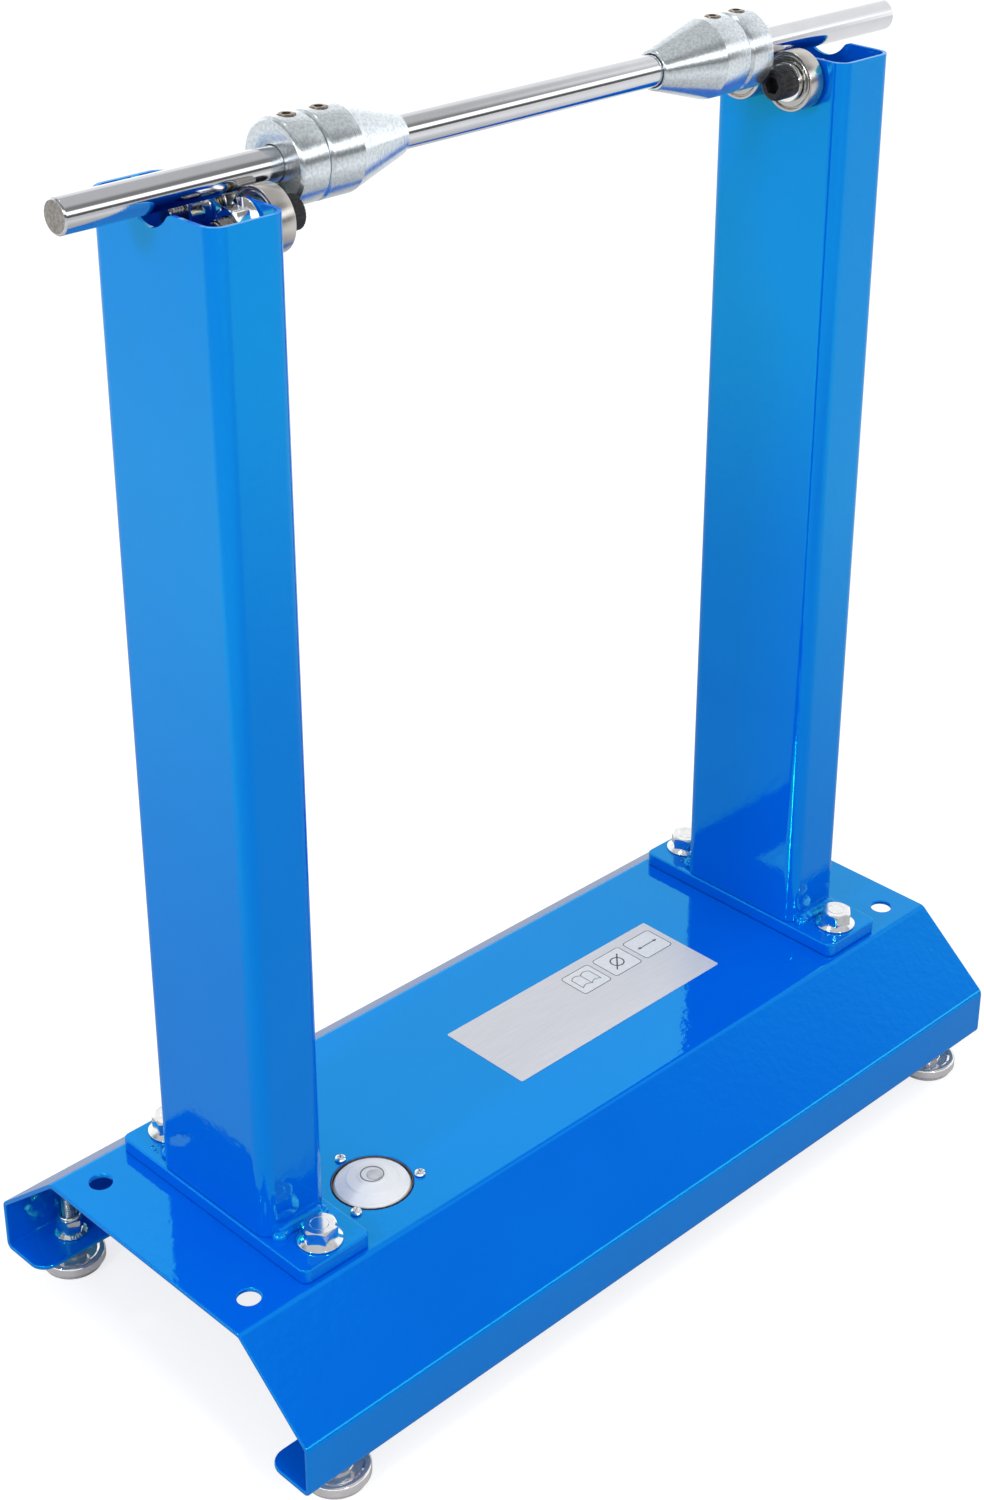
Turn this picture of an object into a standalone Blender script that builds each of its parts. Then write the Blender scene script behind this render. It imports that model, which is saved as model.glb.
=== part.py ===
"""Motorcycle wheel balancer: a folded sheet base, two tube posts, and an axle that rolls on four ball bearings.

X runs along the axle, -Y is the front and +Z is up. The origin is on the ground under the middle of the base.
All lengths are in metres. Left is the -X end. A side is -1 for left and +1 for right, and a row is -1 for
front and +1 for back.
"""
from math import acos, atan2, cos, pi, sin, sqrt, tan

import bmesh
import bpy
from mathutils import Matrix, Vector

# Clearances
SEAT_GAP = 0.0003
CUT_OVERRUN = 0.004
WELD_DISTANCE = 0.00001

# Base sheet
BASE_LENGTH = 0.530
BASE_SLOPE_RUN = 0.048
BASE_HEIGHT = 0.070
BASE_SLOPE_DROP = 0.040
BASE_SHEET = 0.0025
BASE_FLANGE_WIDTH = 0.032
BASE_FOLD_RADIUS = 0.005
BASE_FLANGE_FOLD_RADIUS = 0.004
BASE_FLANGE_CORNER_RADIUS = 0.020
FIXING_HOLE_DIAMETER = 0.012
FIXING_HOLE_TO_END = 0.020
FIXING_HOLE_TO_FOLD = 0.017

# Posts and their foot plates
POST_TO_END = 0.065
POST_WIDTH = 0.040
POST_DEPTH = 0.080
POST_LENGTH = 0.5144
POST_WALL = 0.002
POST_CORNER_RADIUS = 0.005
NOTCH_RADIUS = 0.0125
NOTCH_LIP_RADIUS = 0.003
FOOT_PLATE_PAST_POST = 0.0325
FOOT_PLATE_TO_FOLD = 0.0045
FOOT_PLATE_THICKNESS = 0.008
FOOT_PLATE_CORNER_RADIUS = 0.0045
FOOT_PLATE_EDGE_RADIUS = 0.0008
WELD_RADIUS = 0.0042
WELD_END_SETBACK = 0.004
WELD_RIPPLE_SHARE = 0.14

# M10 fasteners of the foot plates and the bearings
M10_DIAMETER = 0.010
M10_HEX_WIDTH = 0.015
M10_NUT_HEIGHT = 0.010
M10_FLANGE_DIAMETER = 0.0222
M10_FLANGE_THICKNESS = 0.0018
M10_THREAD_PAST_NUT = 0.003
POST_BOLT_HEAD_HEIGHT = 0.0098
POST_BOLT_HEAD_CHAMFER = 0.0016
POST_BOLT_TO_PLATE_END = 0.0125

# Axle, cones and collars
AXLE_DIAMETER = 0.015
AXLE_PAST_POST = 0.065
AXLE_CHAMFER = 0.0008
AXLE_ABOVE_POST = 0.0055
COLLAR_DIAMETER = 0.040
COLLAR_LENGTH = 0.0168
COLLAR_CHAMFER = 0.0011
COLLAR_TO_SCREW_HEAD = 0.002
CONE_CYLINDER_LENGTH = 0.0185
CONE_TAPER_LENGTH = 0.0345
CONE_TIP_DIAMETER = 0.020
CONE_TIP_CHAMFER = 0.0006
SET_SCREW_DIAMETER = 0.008
SET_SCREW_HEX_WIDTH = 0.004
SET_SCREW_SOCKET_DEPTH = 0.004
SET_SCREW_CHAMFER = 0.0006
SET_SCREW_PROUD = 0.0004

# Ball bearings
BEARING_DIAMETER = 0.032
BEARING_BORE = 0.012
BEARING_WIDTH = 0.010
BEARING_CHAMFER = 0.0006
BEARING_HALF_SPREAD = 0.017
BALL_DIAMETER = 0.0053
BALL_COUNT = 7
BALL_GAP = 0.0003
INNER_SHOULDER_DIAMETER = 0.017
OUTER_SHOULDER_DIAMETER = 0.027
SHIELD_THICKNESS = 0.0005
SHIELD_RECESS = 0.0006
SHIELD_RIM_WIDTH = 0.0006
CAGE_WIDTH = 0.0012
CAGE_HEIGHT = 0.0016

# What holds a bearing on its post
BUSH_FLANGE_DIAMETER = 0.020
BUSH_FLANGE_THICKNESS = 0.0015
HEAD_WASHER_DIAMETER = 0.020
HEAD_WASHER_THICKNESS = 0.002
SCREW_HEAD_DIAMETER = 0.016
SCREW_HEAD_HEIGHT = 0.010
SCREW_HEAD_CHAMFER = 0.0008
SCREW_SOCKET_WIDTH = 0.008
SCREW_SOCKET_DEPTH = 0.005
SCREW_THREAD_PAST_NUT = 0.007

# Spirit level
LEVEL_TO_LEFT_END = 0.1186
LEVEL_TO_FRONT_FOLD = 0.0394
LEVEL_DIAMETER = 0.042
LEVEL_WALL = 0.003
LEVEL_DEPTH = 0.010
LEVEL_FLOOR = 0.002
LEVEL_FLANGE_DIAMETER = 0.058
LEVEL_FLANGE_THICKNESS = 0.002
LEVEL_LENS_HEIGHT = 0.004
LEVEL_LENS_THICKNESS = 0.0016
LEVEL_LENS_DOME = 0.0008
LEVEL_LENS_EDGE_RADIUS = 0.0012
LEVEL_SCREW_RADIUS = 0.025
LEVEL_SCREW_ANGLES = (pi / 2, -pi / 6, -5 * pi / 6)
M3_DIAMETER = 0.003
M3_HEAD_DIAMETER = 0.006
M3_HEAD_HEIGHT = 0.0022
M3_THREAD_PAST_FLANGE = 0.002

# Feet
FOOT_TO_END = 0.030
FOOT_TO_LIP = 0.016
STUD_DIAMETER = 0.008
STUD_CHAMFER = 0.0007
STUD_PAST_NUT = 0.017
M8_HEX_WIDTH = 0.013
M8_NUT_HEIGHT = 0.008
M8_FLANGE_DIAMETER = 0.0179
M8_FLANGE_THICKNESS = 0.0014
PAD_DIAMETER = 0.0316
PAD_RIM_HEIGHT = 0.0032
PAD_EDGE_RADIUS = 0.0008
PAD_SPIGOT_DIAMETER = 0.0284
PAD_SPIGOT_HEIGHT = 0.0012
CAP_DIAMETER = 0.0335
CAP_HEIGHT = 0.0052
CAP_ROUNDING = 0.0016
CAP_DISH_DIAMETER = 0.0262
CAP_DISH_DEPTH = 0.0008
CAP_HUB_DIAMETER = 0.0172
CAP_HUB_HEIGHT = 0.0012

# Facets
FOLD_STEPS = 3
CORNER_STEPS = 3
NOTCH_STEPS = 8
AXLE_SIDES = 20
COLLAR_SIDES = 20
BEARING_SIDES = 18
INNER_RING_SIDES = 12
FOOT_SIDES = 14
LEVEL_SIDES = 16
FASTENER_SIDES = 12
THREAD_SIDES = 12
SMALL_SIDES = 8
BALL_SEGMENTS = 6
BALL_RINGS = 4
WELD_POINTS = 7
WELD_SWELLS = 3
SMOOTH_ANGLE = pi / 5

# Places worked out from the sizes
FOOT_CAP_BASE_Z = PAD_RIM_HEIGHT + SEAT_GAP
FOOT_CAP_TOP_Z = FOOT_CAP_BASE_Z + CAP_HEIGHT
FOOT_HUB_TOP_Z = FOOT_CAP_TOP_Z - CAP_DISH_DEPTH + CAP_HUB_HEIGHT
BASE_UNDERSIDE_Z = FOOT_HUB_TOP_Z + SEAT_GAP + M8_NUT_HEIGHT + SEAT_GAP
BASE_TOP_Z = BASE_UNDERSIDE_Z + BASE_HEIGHT
SHEET_UNDERSIDE_Z = BASE_TOP_Z - BASE_SHEET
FOOT_NUT_SEAT_Z = BASE_UNDERSIDE_Z + BASE_SHEET + SEAT_GAP
STUD_TOP_Z = FOOT_NUT_SEAT_Z + M8_NUT_HEIGHT + STUD_PAST_NUT
FOOT_PLATE_Z = BASE_TOP_Z + SEAT_GAP
FOOT_PLATE_TOP_Z = FOOT_PLATE_Z + FOOT_PLATE_THICKNESS
POST_BASE_Z = FOOT_PLATE_TOP_Z + SEAT_GAP
POST_TOP_Z = POST_BASE_Z + POST_LENGTH
AXLE_Z = POST_TOP_Z + AXLE_ABOVE_POST
FOOT_PLATE_DEPTH = POST_DEPTH + 2 * FOOT_PLATE_PAST_POST
BASE_TOP_WIDTH = FOOT_PLATE_DEPTH + 2 * FOOT_PLATE_TO_FOLD
BASE_WIDTH = BASE_TOP_WIDTH + 2 * BASE_SLOPE_RUN
POST_X = BASE_LENGTH / 2 - POST_TO_END
AXLE_LENGTH = 2 * (POST_X + AXLE_PAST_POST)
POST_INNER_X = POST_X - POST_WIDTH / 2
POST_BOLT_Y = FOOT_PLATE_DEPTH / 2 - POST_BOLT_TO_PLATE_END
FOOT_X = BASE_LENGTH / 2 - FOOT_TO_END
FOOT_Y = BASE_WIDTH / 2 - FOOT_TO_LIP
LEVEL_X = LEVEL_TO_LEFT_END - BASE_LENGTH / 2
LEVEL_Y = LEVEL_TO_FRONT_FOLD - BASE_TOP_WIDTH / 2
LEVEL_CUT_OUT_RADIUS = LEVEL_DIAMETER / 2 + SEAT_GAP
LEVEL_FLANGE_Z = SHEET_UNDERSIDE_Z - SEAT_GAP - LEVEL_FLANGE_THICKNESS
BEARING_DISTANCE = AXLE_DIAMETER / 2 + BEARING_DIAMETER / 2 + SEAT_GAP
BEARING_Z = AXLE_Z - sqrt(BEARING_DISTANCE**2 - BEARING_HALF_SPREAD**2)

# Distances from a post's inner face towards the wheel
BEARING_FROM_POST = SEAT_GAP + BUSH_FLANGE_THICKNESS + SEAT_GAP
HEAD_WASHER_FROM_POST = BEARING_FROM_POST + BEARING_WIDTH + SEAT_GAP
SCREW_HEAD_FROM_POST = HEAD_WASHER_FROM_POST + HEAD_WASHER_THICKNESS
SCREW_HEAD_END_FROM_POST = SCREW_HEAD_FROM_POST + SCREW_HEAD_HEIGHT
COLLAR_X = POST_INNER_X - SCREW_HEAD_END_FROM_POST - COLLAR_TO_SCREW_HEAD
CONE_X = COLLAR_X - COLLAR_LENGTH - SEAT_GAP

SIDES = {"left": -1, "right": 1}
ROWS = {"front": -1, "back": 1}

# Colour, roughness and metallic value of each finish
FINISHES = {
    "blue_paint": ((0.003, 0.19, 0.72), 0.22, 0.0),
    "bright_zinc": ((0.62, 0.65, 0.68), 0.32, 1.0),
    "turned_zinc": ((0.60, 0.65, 0.69), 0.30, 1.0),
    "ground_steel": ((0.58, 0.58, 0.60), 0.18, 1.0),
    "bearing_steel": ((0.50, 0.48, 0.46), 0.28, 1.0),
    "yellow_zinc": ((0.62, 0.53, 0.30), 0.34, 1.0),
    "black_oxide": ((0.025, 0.025, 0.028), 0.42, 0.6),
    "chrome": ((0.70, 0.70, 0.71), 0.10, 1.0),
    "level_white": ((0.82, 0.83, 0.84), 0.30, 0.0),
    "level_clear": ((0.92, 0.94, 0.95), 0.08, 0.0),
    "grey_plastic": ((0.48, 0.46, 0.48), 0.55, 0.0),
}


def clear_scene():
    """Remove every object of the opening scene."""
    for obj in list(bpy.data.objects):
        bpy.data.objects.remove(obj, do_unlink=True)


def new_collection(name):
    """A new collection, linked to the scene."""
    collection = bpy.data.collections.new(name)
    bpy.context.scene.collection.children.link(collection)
    return collection


def new_material(name, finish):
    """A Principled material with one of the finishes."""
    color, roughness, metallic = FINISHES[finish]
    material = bpy.data.materials.new(name + "_" + finish)
    material.use_nodes = True
    shader = material.node_tree.nodes["Principled BSDF"]
    shader.inputs["Base Color"].default_value = (*color, 1.0)
    shader.inputs["Roughness"].default_value = roughness
    shader.inputs["Metallic"].default_value = metallic
    return material


def add_part(name, mesh, finish, matrix=None, parent=None):
    """Add one named sub-part, with a material of its own."""
    obj = bpy.data.objects.new(name, mesh)
    PARTS.objects.link(obj)
    obj.parent = parent
    obj.matrix_world = matrix or Matrix()
    mesh.materials.clear()
    mesh.materials.append(new_material(name, finish))
    return obj


def add_pivot(name, matrix, parent=None):
    """Add an empty that marks a joint's axis."""
    pivot = bpy.data.objects.new(name, None)
    PARTS.objects.link(pivot)
    pivot.parent = parent
    pivot.matrix_world = matrix
    return pivot


def add_cut(part, name, mesh, matrix=None, parent=None):
    """Cut a mesh out of a part with a cutter that stays in the cutters' collection."""
    cutter = bpy.data.objects.new(name, mesh)
    CUTTERS.objects.link(cutter)
    cutter.parent = parent
    cutter.matrix_world = matrix or Matrix()
    cutter.hide_render = True
    cutter.display_type = "WIRE"
    boolean = part.modifiers.new(name, "BOOLEAN")
    boolean.operation = "DIFFERENCE"
    boolean.object = cutter
    return cutter


def evaluated_mesh(obj):
    """The welded mesh of a scratch object as its modifiers make it, with the object removed."""
    bpy.context.view_layer.update()
    graph = bpy.context.evaluated_depsgraph_get()
    mesh = bpy.data.meshes.new_from_object(obj.evaluated_get(graph))
    bpy.data.objects.remove(obj, do_unlink=True)
    shape = bmesh.new()
    shape.from_mesh(mesh)
    bmesh.ops.remove_doubles(shape, verts=shape.verts, dist=WELD_DISTANCE)
    bmesh.ops.recalc_face_normals(shape, faces=shape.faces)
    shape.to_mesh(mesh)
    shape.free()
    mesh.shade_smooth()
    mesh.set_sharp_from_angle(angle=SMOOTH_ANGLE)
    return mesh


def scratch_object(data):
    """An object that is linked only while its mesh is being made."""
    obj = bpy.data.objects.new("scratch", data)
    CUTTERS.objects.link(obj)
    return obj


def combined(mesh, other, operation):
    """The union, difference or intersection of two closed meshes."""
    first = scratch_object(mesh)
    second = scratch_object(other)
    boolean = first.modifiers.new(operation, "BOOLEAN")
    boolean.operation = operation
    boolean.object = second
    result = evaluated_mesh(first)
    bpy.data.objects.remove(second, do_unlink=True)
    return result


def turned(profile, sides, ring=False):
    """A turned mesh about Z. The profile runs down its outer side, and a ring's profile is closed."""
    shape = bmesh.new()
    points = [shape.verts.new((radius, 0, height)) for radius, height in profile]
    for first, second in zip(points, points[1:]):
        shape.edges.new((first, second))
    if ring:
        shape.edges.new((points[-1], points[0]))
    mesh = bpy.data.meshes.new("profile")
    shape.to_mesh(mesh)
    shape.free()
    obj = scratch_object(mesh)
    screw = obj.modifiers.new("turn", "SCREW")
    screw.steps = sides
    screw.render_steps = sides
    screw.use_merge_vertices = True
    screw.merge_threshold = WELD_DISTANCE
    return evaluated_mesh(obj)


def pin(diameter, low, high, sides):
    """A plain cylinder about Z from one height to another."""
    shape = bmesh.new()
    middle = Matrix.Translation((0, 0, (low + high) / 2))
    bmesh.ops.create_cone(shape, cap_ends=True, segments=sides, radius1=diameter / 2, radius2=diameter / 2,
                          depth=high - low, matrix=middle)
    mesh = bpy.data.meshes.new("pin")
    shape.to_mesh(mesh)
    shape.free()
    return mesh


def hexagon(width, low, high):
    """A hexagonal prism about Z, by its width across the flats."""
    return pin(width / cos(pi / 6), low, high, 6)


def box(length, depth, low, high):
    """A box about Z from one height to another."""
    shape = bmesh.new()
    middle = Matrix.Translation((0, 0, (low + high) / 2))
    size = Matrix.Diagonal((length, depth, high - low, 1))
    bmesh.ops.create_cube(shape, size=1, matrix=middle @ size)
    mesh = bpy.data.meshes.new("box")
    shape.to_mesh(mesh)
    shape.free()
    return mesh


def grouped(pieces):
    """One mesh with a copy of each (mesh, matrix) pair, as separate bodies."""
    shape = bmesh.new()
    for mesh, matrix in pieces:
        copy = mesh.copy()
        copy.transform(matrix)
        shape.from_mesh(copy)
        bpy.data.meshes.remove(copy)
    group = bpy.data.meshes.new("group")
    shape.to_mesh(group)
    shape.free()
    return group


def copies(mesh, places):
    """One mesh with a copy of another at each of the places."""
    return grouped([(mesh, Matrix.Translation(place)) for place in places])


def corner_arc(before, corner, after, radius, steps):
    """The points of the arc that rounds one corner of a flat path."""
    corner = Vector(corner)
    back = (Vector(before) - corner).normalized()
    ahead = (Vector(after) - corner).normalized()
    half = acos(max(-1, min(1, back.dot(ahead)))) / 2
    centre = corner + (back + ahead).normalized() * (radius / sin(half))
    start = corner + back * (radius / tan(half)) - centre
    end = corner + ahead * (radius / tan(half)) - centre
    first = atan2(start.y, start.x)
    sweep = (atan2(end.y, end.x) - first + pi) % (2 * pi) - pi
    angles = [first + sweep * step / steps for step in range(steps + 1)]
    return [(centre.x + radius * cos(angle), centre.y + radius * sin(angle)) for angle in angles]


def rounded_path(points, radii, steps):
    """An open flat path whose inner corners are rounded."""
    path = [points[0]]
    for before, corner, after, radius in zip(points, points[1:], points[2:], radii):
        path.extend(corner_arc(before, corner, after, radius, steps))
    path.append(points[-1])
    return path


def rounded_rectangle(length, depth, radius, steps):
    """A closed rectangular outline with round corners."""
    x, y = length / 2, depth / 2
    turns = [(-x, -y), (x, -y), (x, y), (-x, y)]
    outline = []
    for index, turn in enumerate(turns):
        outline.extend(corner_arc(turns[index - 1], turn, turns[(index + 1) % 4], radius, steps))
    return outline


def plate(outlines, thickness, low):
    """A flat plate with its outline first and then its holes, standing on a height."""
    curve = bpy.data.curves.new("outline", "CURVE")
    curve.dimensions = "2D"
    curve.fill_mode = "BOTH"
    curve.extrude = thickness / 2
    for outline in outlines:
        spline = curve.splines.new("POLY")
        spline.points.add(len(outline) - 1)
        spline.use_cyclic_u = True
        for point, (x, y) in zip(spline.points, outline):
            point.co = (x, y, 0, 1)
    mesh = evaluated_mesh(scratch_object(curve))
    mesh.transform(Matrix.Translation((0, 0, low + thickness / 2)))
    return mesh


def corners(x, y):
    """The four places at equal distances from the middle, each with its name."""
    return {side_name + "_" + row_name: Vector((side * x, row * y, 0))
            for side_name, side in SIDES.items() for row_name, row in ROWS.items()}


def level_screw_places():
    """Where the level's screws stand."""
    centre = Vector((LEVEL_X, LEVEL_Y, 0))
    return [centre + LEVEL_SCREW_RADIUS * Vector((cos(a), sin(a), 0)) for a in LEVEL_SCREW_ANGLES]


def towards_wheel(side, y, z, x=POST_INNER_X):
    """The frame at one side whose Z axis points along the axle towards the wheel."""
    return Matrix.Translation((side * x, y, z)) @ Matrix.Rotation(-side * pi / 2, 4, "Y")


def bearing_frames():
    """The frame of each bearing's seat on its post, with its name."""
    return {side_name + "_" + row_name: towards_wheel(side, row * BEARING_HALF_SPREAD, BEARING_Z)
            for side_name, side in SIDES.items() for row_name, row in ROWS.items()}


def base_strip():
    """One half of the base sheet's outer surface, open at the middle, as a bent strip."""
    half_top, half_width = BASE_TOP_WIDTH / 2, BASE_WIDTH / 2
    folds = [
        (0, BASE_TOP_Z),
        (half_top, BASE_TOP_Z),
        (half_width, BASE_TOP_Z - BASE_SLOPE_DROP),
        (half_width, BASE_UNDERSIDE_Z),
        (half_width - BASE_FLANGE_WIDTH, BASE_UNDERSIDE_Z),
    ]
    radii = [BASE_FOLD_RADIUS, BASE_FOLD_RADIUS, BASE_FLANGE_FOLD_RADIUS]
    shape = bmesh.new()
    ends = []
    for y, z in rounded_path(folds, radii, FOLD_STEPS):
        ends.append([shape.verts.new((end * BASE_LENGTH / 2, y, z)) for end in (-1, 1)])
    for first, second in zip(ends, ends[1:]):
        shape.faces.new((first[0], first[1], second[1], second[0]))
    mesh = bpy.data.meshes.new("base_strip")
    shape.to_mesh(mesh)
    shape.free()
    mesh.shade_smooth()
    mesh.set_sharp_from_angle(angle=SMOOTH_ANGLE)
    return mesh


def base_holes():
    """The pins that cut the base sheet's round holes."""
    top = (SHEET_UNDERSIDE_Z - CUT_OVERRUN, BASE_TOP_Z + CUT_OVERRUN)
    flange = (BASE_UNDERSIDE_Z - CUT_OVERRUN, BASE_UNDERSIDE_Z + BASE_SHEET + CUT_OVERRUN)
    fixing_x = BASE_LENGTH / 2 - FIXING_HOLE_TO_END
    fixing_y = BASE_TOP_WIDTH / 2 - FIXING_HOLE_TO_FOLD
    fixings = corners(fixing_x, fixing_y).values()
    bolts = corners(POST_X, POST_BOLT_Y).values()
    feet = corners(FOOT_X, FOOT_Y).values()
    return grouped([
        (copies(pin(FIXING_HOLE_DIAMETER, *top, FASTENER_SIDES), fixings), Matrix()),
        (copies(pin(M10_DIAMETER + 2 * SEAT_GAP, *top, THREAD_SIDES), bolts), Matrix()),
        (copies(pin(2 * LEVEL_CUT_OUT_RADIUS, *top, LEVEL_SIDES), [(LEVEL_X, LEVEL_Y, 0)]), Matrix()),
        (copies(pin(M3_DIAMETER + 2 * SEAT_GAP, *top, SMALL_SIDES), level_screw_places()), Matrix()),
        (copies(pin(STUD_DIAMETER + 2 * SEAT_GAP, *flange, THREAD_SIDES), feet), Matrix()),
    ])


def flange_corner():
    """What is cut off one end corner of a base flange to round it."""
    x = BASE_LENGTH / 2
    y = BASE_WIDTH / 2 - BASE_FLANGE_WIDTH
    past_x, past_y = x + CUT_OVERRUN, y - CUT_OVERRUN
    radius = BASE_FLANGE_CORNER_RADIUS
    arc = corner_arc((x, y + radius), (x, y), (x - radius, y), radius, CORNER_STEPS)
    outline = [(past_x, y + radius), *arc, (x - radius, past_y), (past_x, past_y)]
    return plate([outline], BASE_SHEET + 2 * CUT_OVERRUN, BASE_UNDERSIDE_Z - CUT_OVERRUN)


def build_base():
    """The base sheet, folded from one piece, with its holes."""
    base = add_part("base_plate", base_strip(), "blue_paint")
    mirror = base.modifiers.new("other_half", "MIRROR")
    mirror.use_axis = (False, True, False)
    mirror.merge_threshold = WELD_DISTANCE
    solidify = base.modifiers.new("sheet", "SOLIDIFY")
    solidify.thickness = BASE_SHEET
    solidify.offset = -1
    solidify.use_even_offset = True
    add_cut(base, "base_holes", base_holes())
    round_corner = add_cut(base, "flange_corners", flange_corner())
    others = round_corner.modifiers.new("other_corners", "MIRROR")
    others.use_axis = (True, True, False)
    others.use_mirror_merge = False


def notch_outline():
    """The outline of the cutter for a post's notch, in Y and Z: a round seat with rolled lips."""
    lip = NOTCH_LIP_RADIUS
    lip_z = POST_TOP_Z - lip
    lip_y = sqrt((NOTCH_RADIUS + lip) ** 2 - (AXLE_Z - lip_z) ** 2)
    join = atan2(AXLE_Z - lip_z, lip_y)
    lip_turns = [pi / 2 + (pi / 2 - join) * step / CORNER_STEPS for step in range(CORNER_STEPS + 1)]
    right_lip = [(lip_y + lip * cos(turn), lip_z + lip * sin(turn)) for turn in lip_turns]
    seat_turns = [-join - (pi - 2 * join) * step / NOTCH_STEPS for step in range(1, NOTCH_STEPS)]
    seat = [(NOTCH_RADIUS * cos(turn), AXLE_Z + NOTCH_RADIUS * sin(turn)) for turn in seat_turns]
    left_lip = [(-y, z) for y, z in reversed(right_lip)]
    past = POST_TOP_Z + CUT_OVERRUN
    return [(lip_y, past), *right_lip, *seat, *left_lip, (-lip_y, past)]


def build_post(name, side):
    """One post: a rectangular tube with the axle's notch and the bearing screws' holes."""
    outer = rounded_rectangle(POST_WIDTH, POST_DEPTH, POST_CORNER_RADIUS, CORNER_STEPS)
    inner = rounded_rectangle(POST_WIDTH - 2 * POST_WALL, POST_DEPTH - 2 * POST_WALL,
                              POST_CORNER_RADIUS - POST_WALL, CORNER_STEPS)
    tube = plate([outer, inner], POST_LENGTH, POST_BASE_Z)
    post = add_part(name + "_post_tube", tube, "blue_paint", Matrix.Translation((side * POST_X, 0, 0)))
    notch = plate([notch_outline()], POST_WIDTH + 2 * CUT_OVERRUN, -POST_WIDTH / 2 - CUT_OVERRUN)
    across = Matrix(((0, 0, 1, side * POST_X), (1, 0, 0, 0), (0, 1, 0, 0), (0, 0, 0, 1)))
    add_cut(post, name + "_notch", notch, across)
    hole = pin(M10_DIAMETER + 2 * SEAT_GAP, -POST_WALL - CUT_OVERRUN, CUT_OVERRUN, THREAD_SIDES)
    frames = [towards_wheel(side, row * BEARING_HALF_SPREAD, BEARING_Z) for row in ROWS.values()]
    add_cut(post, name + "_screw_holes", grouped([(hole, frame) for frame in frames]))


def weld_beads():
    """The beads that join a post's two narrow faces to its foot plate, cut back to clear the post."""
    beads = []
    half = POST_WIDTH / 2 - WELD_END_SETBACK
    for row in ROWS.values():
        curve = bpy.data.curves.new("bead", "CURVE")
        curve.dimensions = "3D"
        curve.bevel_depth = WELD_RADIUS
        curve.bevel_resolution = 1
        curve.use_fill_caps = True
        spline = curve.splines.new("POLY")
        spline.points.add(WELD_POINTS - 1)
        for index, point in enumerate(spline.points):
            share = index / (WELD_POINTS - 1)
            point.co = (half * (2 * share - 1), row * (POST_DEPTH / 2 + WELD_RADIUS / 4), FOOT_PLATE_TOP_Z, 1)
            point.radius = 1 + WELD_RIPPLE_SHARE * cos(2 * pi * WELD_SWELLS * share + row)
        beads.append((evaluated_mesh(scratch_object(curve)), Matrix()))
    clear = box(POST_WIDTH + 2 * CUT_OVERRUN, POST_DEPTH + 2 * SEAT_GAP,
                FOOT_PLATE_TOP_Z - WELD_RADIUS - CUT_OVERRUN, FOOT_PLATE_TOP_Z + WELD_RADIUS + CUT_OVERRUN)
    return combined(grouped(beads), clear, "DIFFERENCE")


def foot_plate():
    """A foot plate with round corners, eased edges, its bolt holes and the weld beads on it."""
    outline = rounded_rectangle(POST_WIDTH, FOOT_PLATE_DEPTH, FOOT_PLATE_CORNER_RADIUS, CORNER_STEPS)
    flat = plate([outline], FOOT_PLATE_THICKNESS, FOOT_PLATE_Z)
    blank = scratch_object(flat)
    edges = blank.modifiers.new("eased_edges", "BEVEL")
    edges.width = FOOT_PLATE_EDGE_RADIUS
    edges.segments = 1
    edges.limit_method = "ANGLE"
    edges.angle_limit = pi / 3
    welded = combined(evaluated_mesh(blank), weld_beads(), "UNION")
    hole = pin(M10_DIAMETER + 2 * SEAT_GAP, FOOT_PLATE_Z - CUT_OVERRUN, FOOT_PLATE_TOP_Z + CUT_OVERRUN,
               THREAD_SIDES)
    holes = copies(hole, [(0, row * POST_BOLT_Y, 0) for row in ROWS.values()])
    return combined(welded, holes, "DIFFERENCE")


def flange(diameter, thickness, hub_diameter, sides=FASTENER_SIDES):
    """The conical flange under a hexagon, from its seat at zero."""
    profile = [(0, 2 * thickness), (hub_diameter / 2, 2 * thickness), (diameter / 2, thickness / 2),
               (diameter / 2, 0), (0, 0)]
    return turned(profile, sides)


def flange_nut(width, height, flange_diameter, flange_thickness, sides=FASTENER_SIDES):
    """A hexagon flange nut without its thread, standing on its seat at zero."""
    seat = flange(flange_diameter, flange_thickness, width, sides)
    return combined(hexagon(width, 0, height), seat, "UNION")


def threaded(nut, height, thread):
    """A nut with its hole, which clears the thread in it."""
    hole = pin(thread + 2 * SEAT_GAP, -CUT_OVERRUN, height + CUT_OVERRUN, THREAD_SIDES)
    return combined(nut, hole, "DIFFERENCE")


def m10_nut():
    """The solid blank of an M10 flange nut."""
    return flange_nut(M10_HEX_WIDTH, M10_NUT_HEIGHT, M10_FLANGE_DIAMETER, M10_FLANGE_THICKNESS)


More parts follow.
